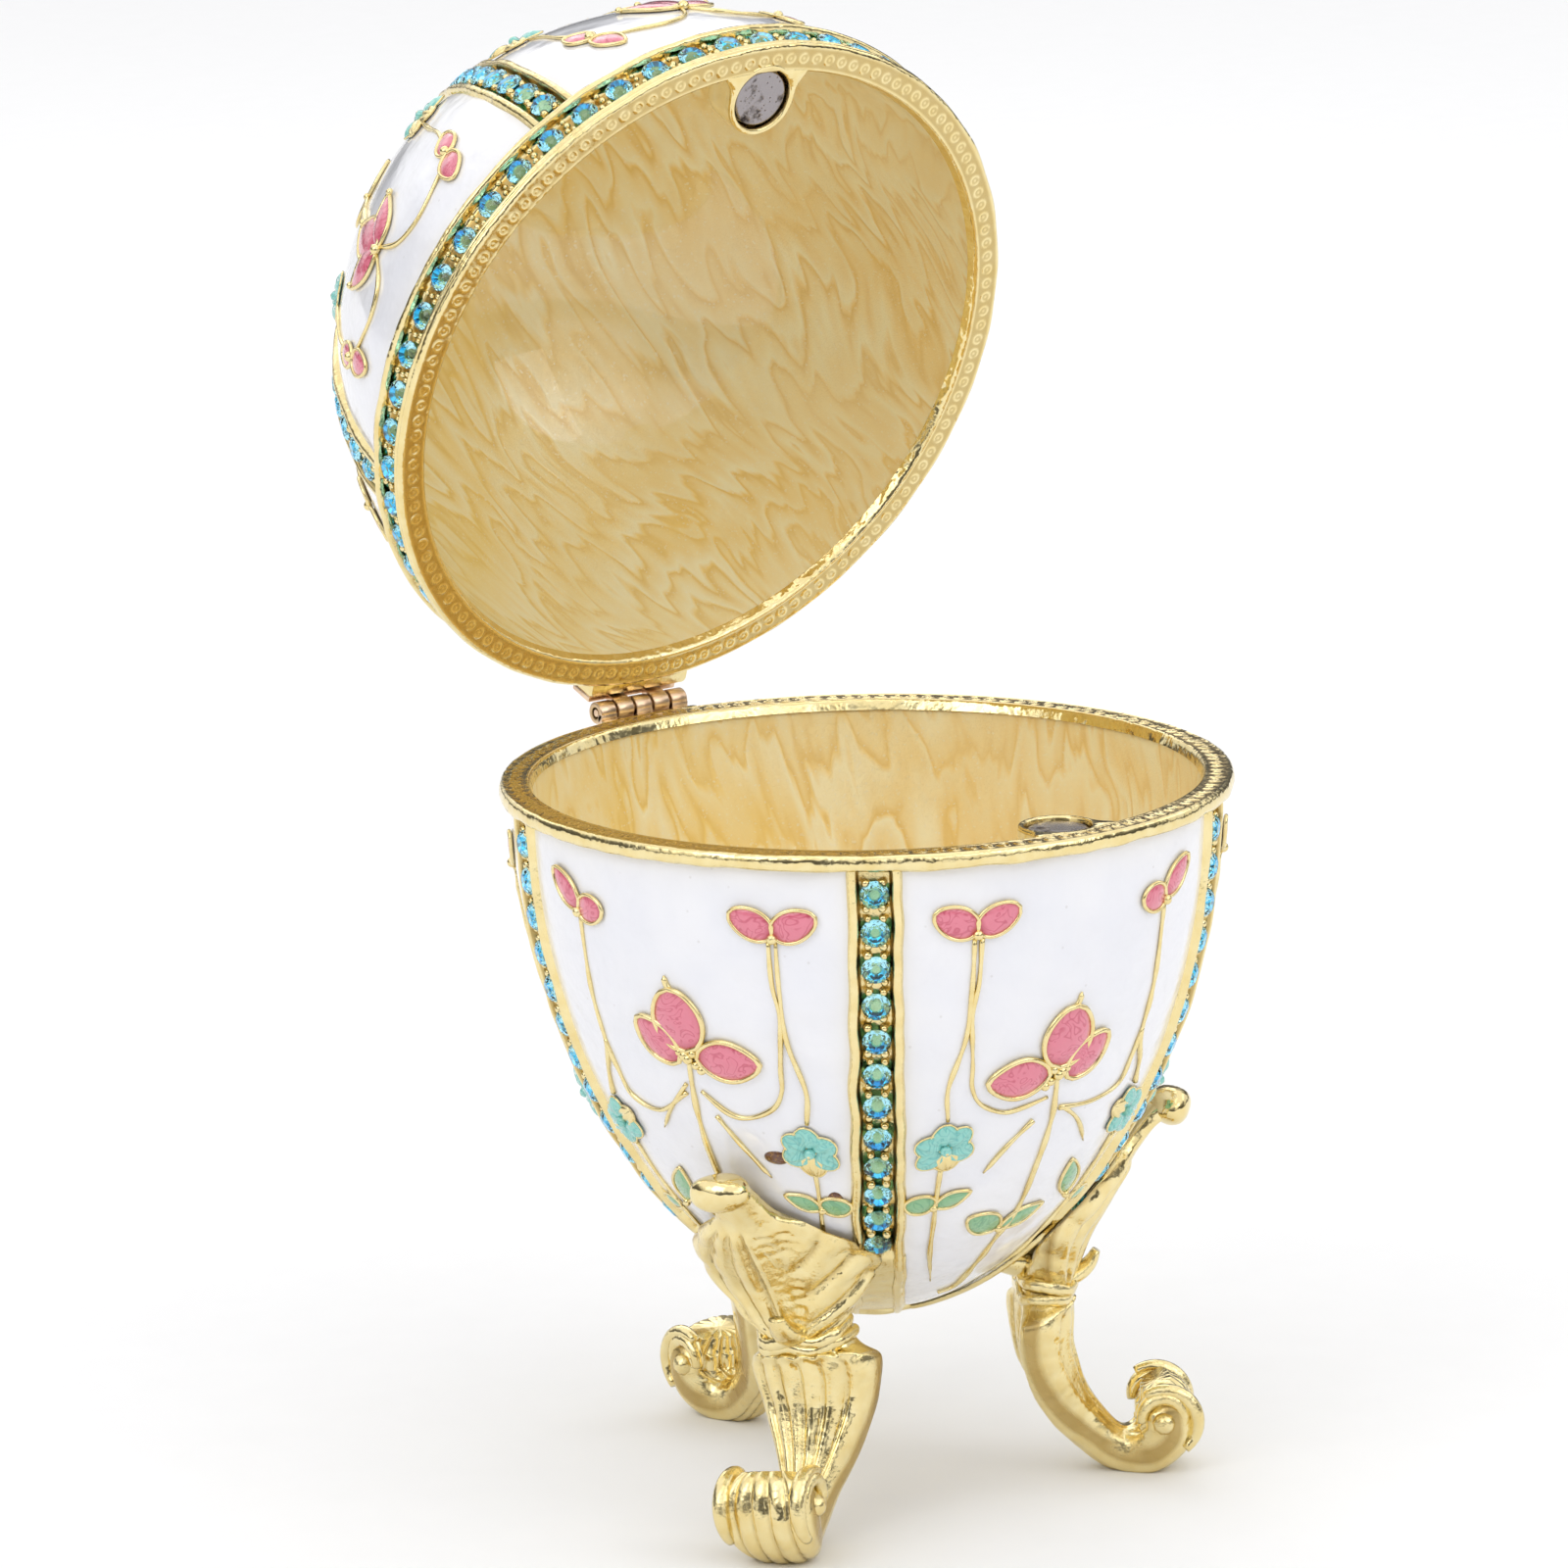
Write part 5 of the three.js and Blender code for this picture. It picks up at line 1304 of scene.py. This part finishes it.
# two drops of amber flux that ran out beside the front rib: azimuth, height, half width, half length
fluxDrops = ((-56.5, -26.6, 1.15, 0.75), (-45.5, -30.8, 0.75, 1.3))
spots = newPile()
for azimuth, height, wide, long in fluxDrops:
    s = lengthTo(baseCurve, height)
    turn = np.linspace(0, 2 * math.pi, 20, endpoint=False)
    rings = []
    for share, lift in ((1.0, -0.05), (0.85, 0.12), (0.5, 0.24), (0.1, 0.28)):
        x, down = share * wide * np.cos(turn), share * long * np.sin(turn)
        rings.append(onEgg(baseCurve, azimuthAt(baseCurve, azimuth, x, s + down), s + down, lift))
    dropTube(spots, np.array(rings))
finishPiece("fluxSpots", spots, amberFlux, toBase, "base", "gold_plate", stands=("base_shell",), closed=True)


# floor, daylight-like studio and camera
floorMesh = bpy.data.meshes.new("floor")
turns = np.linspace(0, 2 * math.pi, 96, endpoint=False)
floorMesh.from_pydata([(8 * math.cos(a), 8 * math.sin(a), 0.0) for a in turns], [], [list(range(96))])
floor = bpy.data.objects.new("floor", floorMesh)
bpy.context.scene.collection.objects.link(floor)
paper, tree, shader, where = newMaterial("pale paper")
fibre = noiseOf(tree, where, 180.0, 2.0)
colour = blendColours(tree, fibre, (0.89, 0.89, 0.89, 1), (0.91, 0.91, 0.91, 1))
setShader(shader, Base_Color=colour, Roughness=0.9, Specular_IOR_Level=0.1)
floorMesh.materials.append(paper)

studio = {"floorLight": 0.8, "horizon": 0.07, "wall": 0.2, "zenith": 1.2, "strength": 0.92, "boxes": 0.85,
          "boxTurn": math.radians(110)}
world = bpy.data.worlds.new("studio")
bpy.context.scene.world = world
world.use_nodes = True
sky = world.node_tree
sides = put(sky, "SeparateXYZ", {0: put(sky, "TexCoord").outputs["Generated"]})
way = sides.outputs[2]
ramp = sky.nodes.new("ShaderNodeValToRGB")
stops = ramp.color_ramp.elements
stops[0].position, stops[1].position = 0.0, 1.0
for place in (0.47, 0.515, 0.66, 0.76):
    stops.new(place)
for stop, key in zip(stops, ("floorLight", "floorLight", "horizon", "wall", "zenith", "zenith")):
    stop.color = (studio[key], studio[key], studio[key] * 1.01, 1)
sky.links.new(maths(sky, "MULTIPLY_ADD", way, 0.5, 0.5), ramp.inputs[0])
turned = maths(sky, "ARCTAN2", sides.outputs[0], maths(sky, "MULTIPLY", sides.outputs[1], -1.0))
wave = maths(sky, "SINE", maths(sky, "MULTIPLY_ADD", turned, 4.0, studio["boxTurn"]))
band = maths(sky, "MULTIPLY", stretch(sky, way, 0.06, 0.12), stretch(sky, way, 0.62, 0.54))
lit = maths(sky, "MULTIPLY", maths(sky, "MULTIPLY", stretch(sky, wave, 0.15, 0.55), band), studio["boxes"])
boxes = put(sky, "CombineXYZ", {0: lit, 1: lit, 2: lit}).outputs[0]
total = put(sky, "VectorMath", {0: ramp.outputs[0], 1: boxes}, operation="ADD")
sky.links.new(total.outputs[0], sky.nodes["Background"].inputs["Color"])
sky.nodes["Background"].inputs["Strength"].default_value = studio["strength"]

middle = Vector((0, 0, 0.055))
for name, azimuth, elevation, distance, size, power in (
    ("keyLight", -75, 38, 0.7, (0.32, 0.42), 0.55),
    ("fillLight", 25, 30, 0.8, (0.35, 0.4), 0.6),
    ("topLight", -20, 80, 0.75, (0.5, 0.5), 0.3),
    ("backLight", 150, 35, 0.85, (0.4, 0.4), 0.4),
):
    a, e = math.radians(azimuth), math.radians(elevation)
    light = bpy.data.lights.new(name, "AREA")
    light.shape, light.size, light.size_y, light.energy = "RECTANGLE", size[0], size[1], power
    lamp = bpy.data.objects.new(name, light)
    lamp.location = middle + distance * Vector((math.cos(e) * math.sin(a), -math.cos(e) * math.cos(a), math.sin(e)))
    lamp.rotation_euler = (middle - lamp.location).to_track_quat("-Z", "Y").to_euler()
    bpy.context.scene.collection.objects.link(lamp)

cameraLook = {"at": (-0.3695, -0.5041, 0.2011), "yaw": 36.3, "pitch": -12.97, "roll": -1.15, "lens": 177.1}
yaw, pitch, roll = (math.radians(cameraLook[k]) for k in ("yaw", "pitch", "roll"))
forward = Vector((math.sin(yaw) * math.cos(pitch), math.cos(yaw) * math.cos(pitch), math.sin(pitch)))
level = forward.cross(Vector((0, 0, 1))).normalized()
upright = level.cross(forward)
right = math.cos(roll) * level + math.sin(roll) * upright
above = -math.sin(roll) * level + math.cos(roll) * upright
camera = bpy.data.cameras.new("camera")
camera.lens, camera.sensor_width = cameraLook["lens"], 36.0
camera.clip_start, camera.clip_end = 0.01, 50.0
shooter = bpy.data.objects.new("camera", camera)
turn = Matrix((right, above, -forward)).transposed().to_4x4()
shooter.matrix_world = Matrix.Translation(cameraLook["at"]) @ turn
bpy.context.scene.collection.objects.link(shooter)
bpy.context.scene.camera = shooter
bpy.context.scene.view_settings.view_transform = "Standard"
print("studio ready")
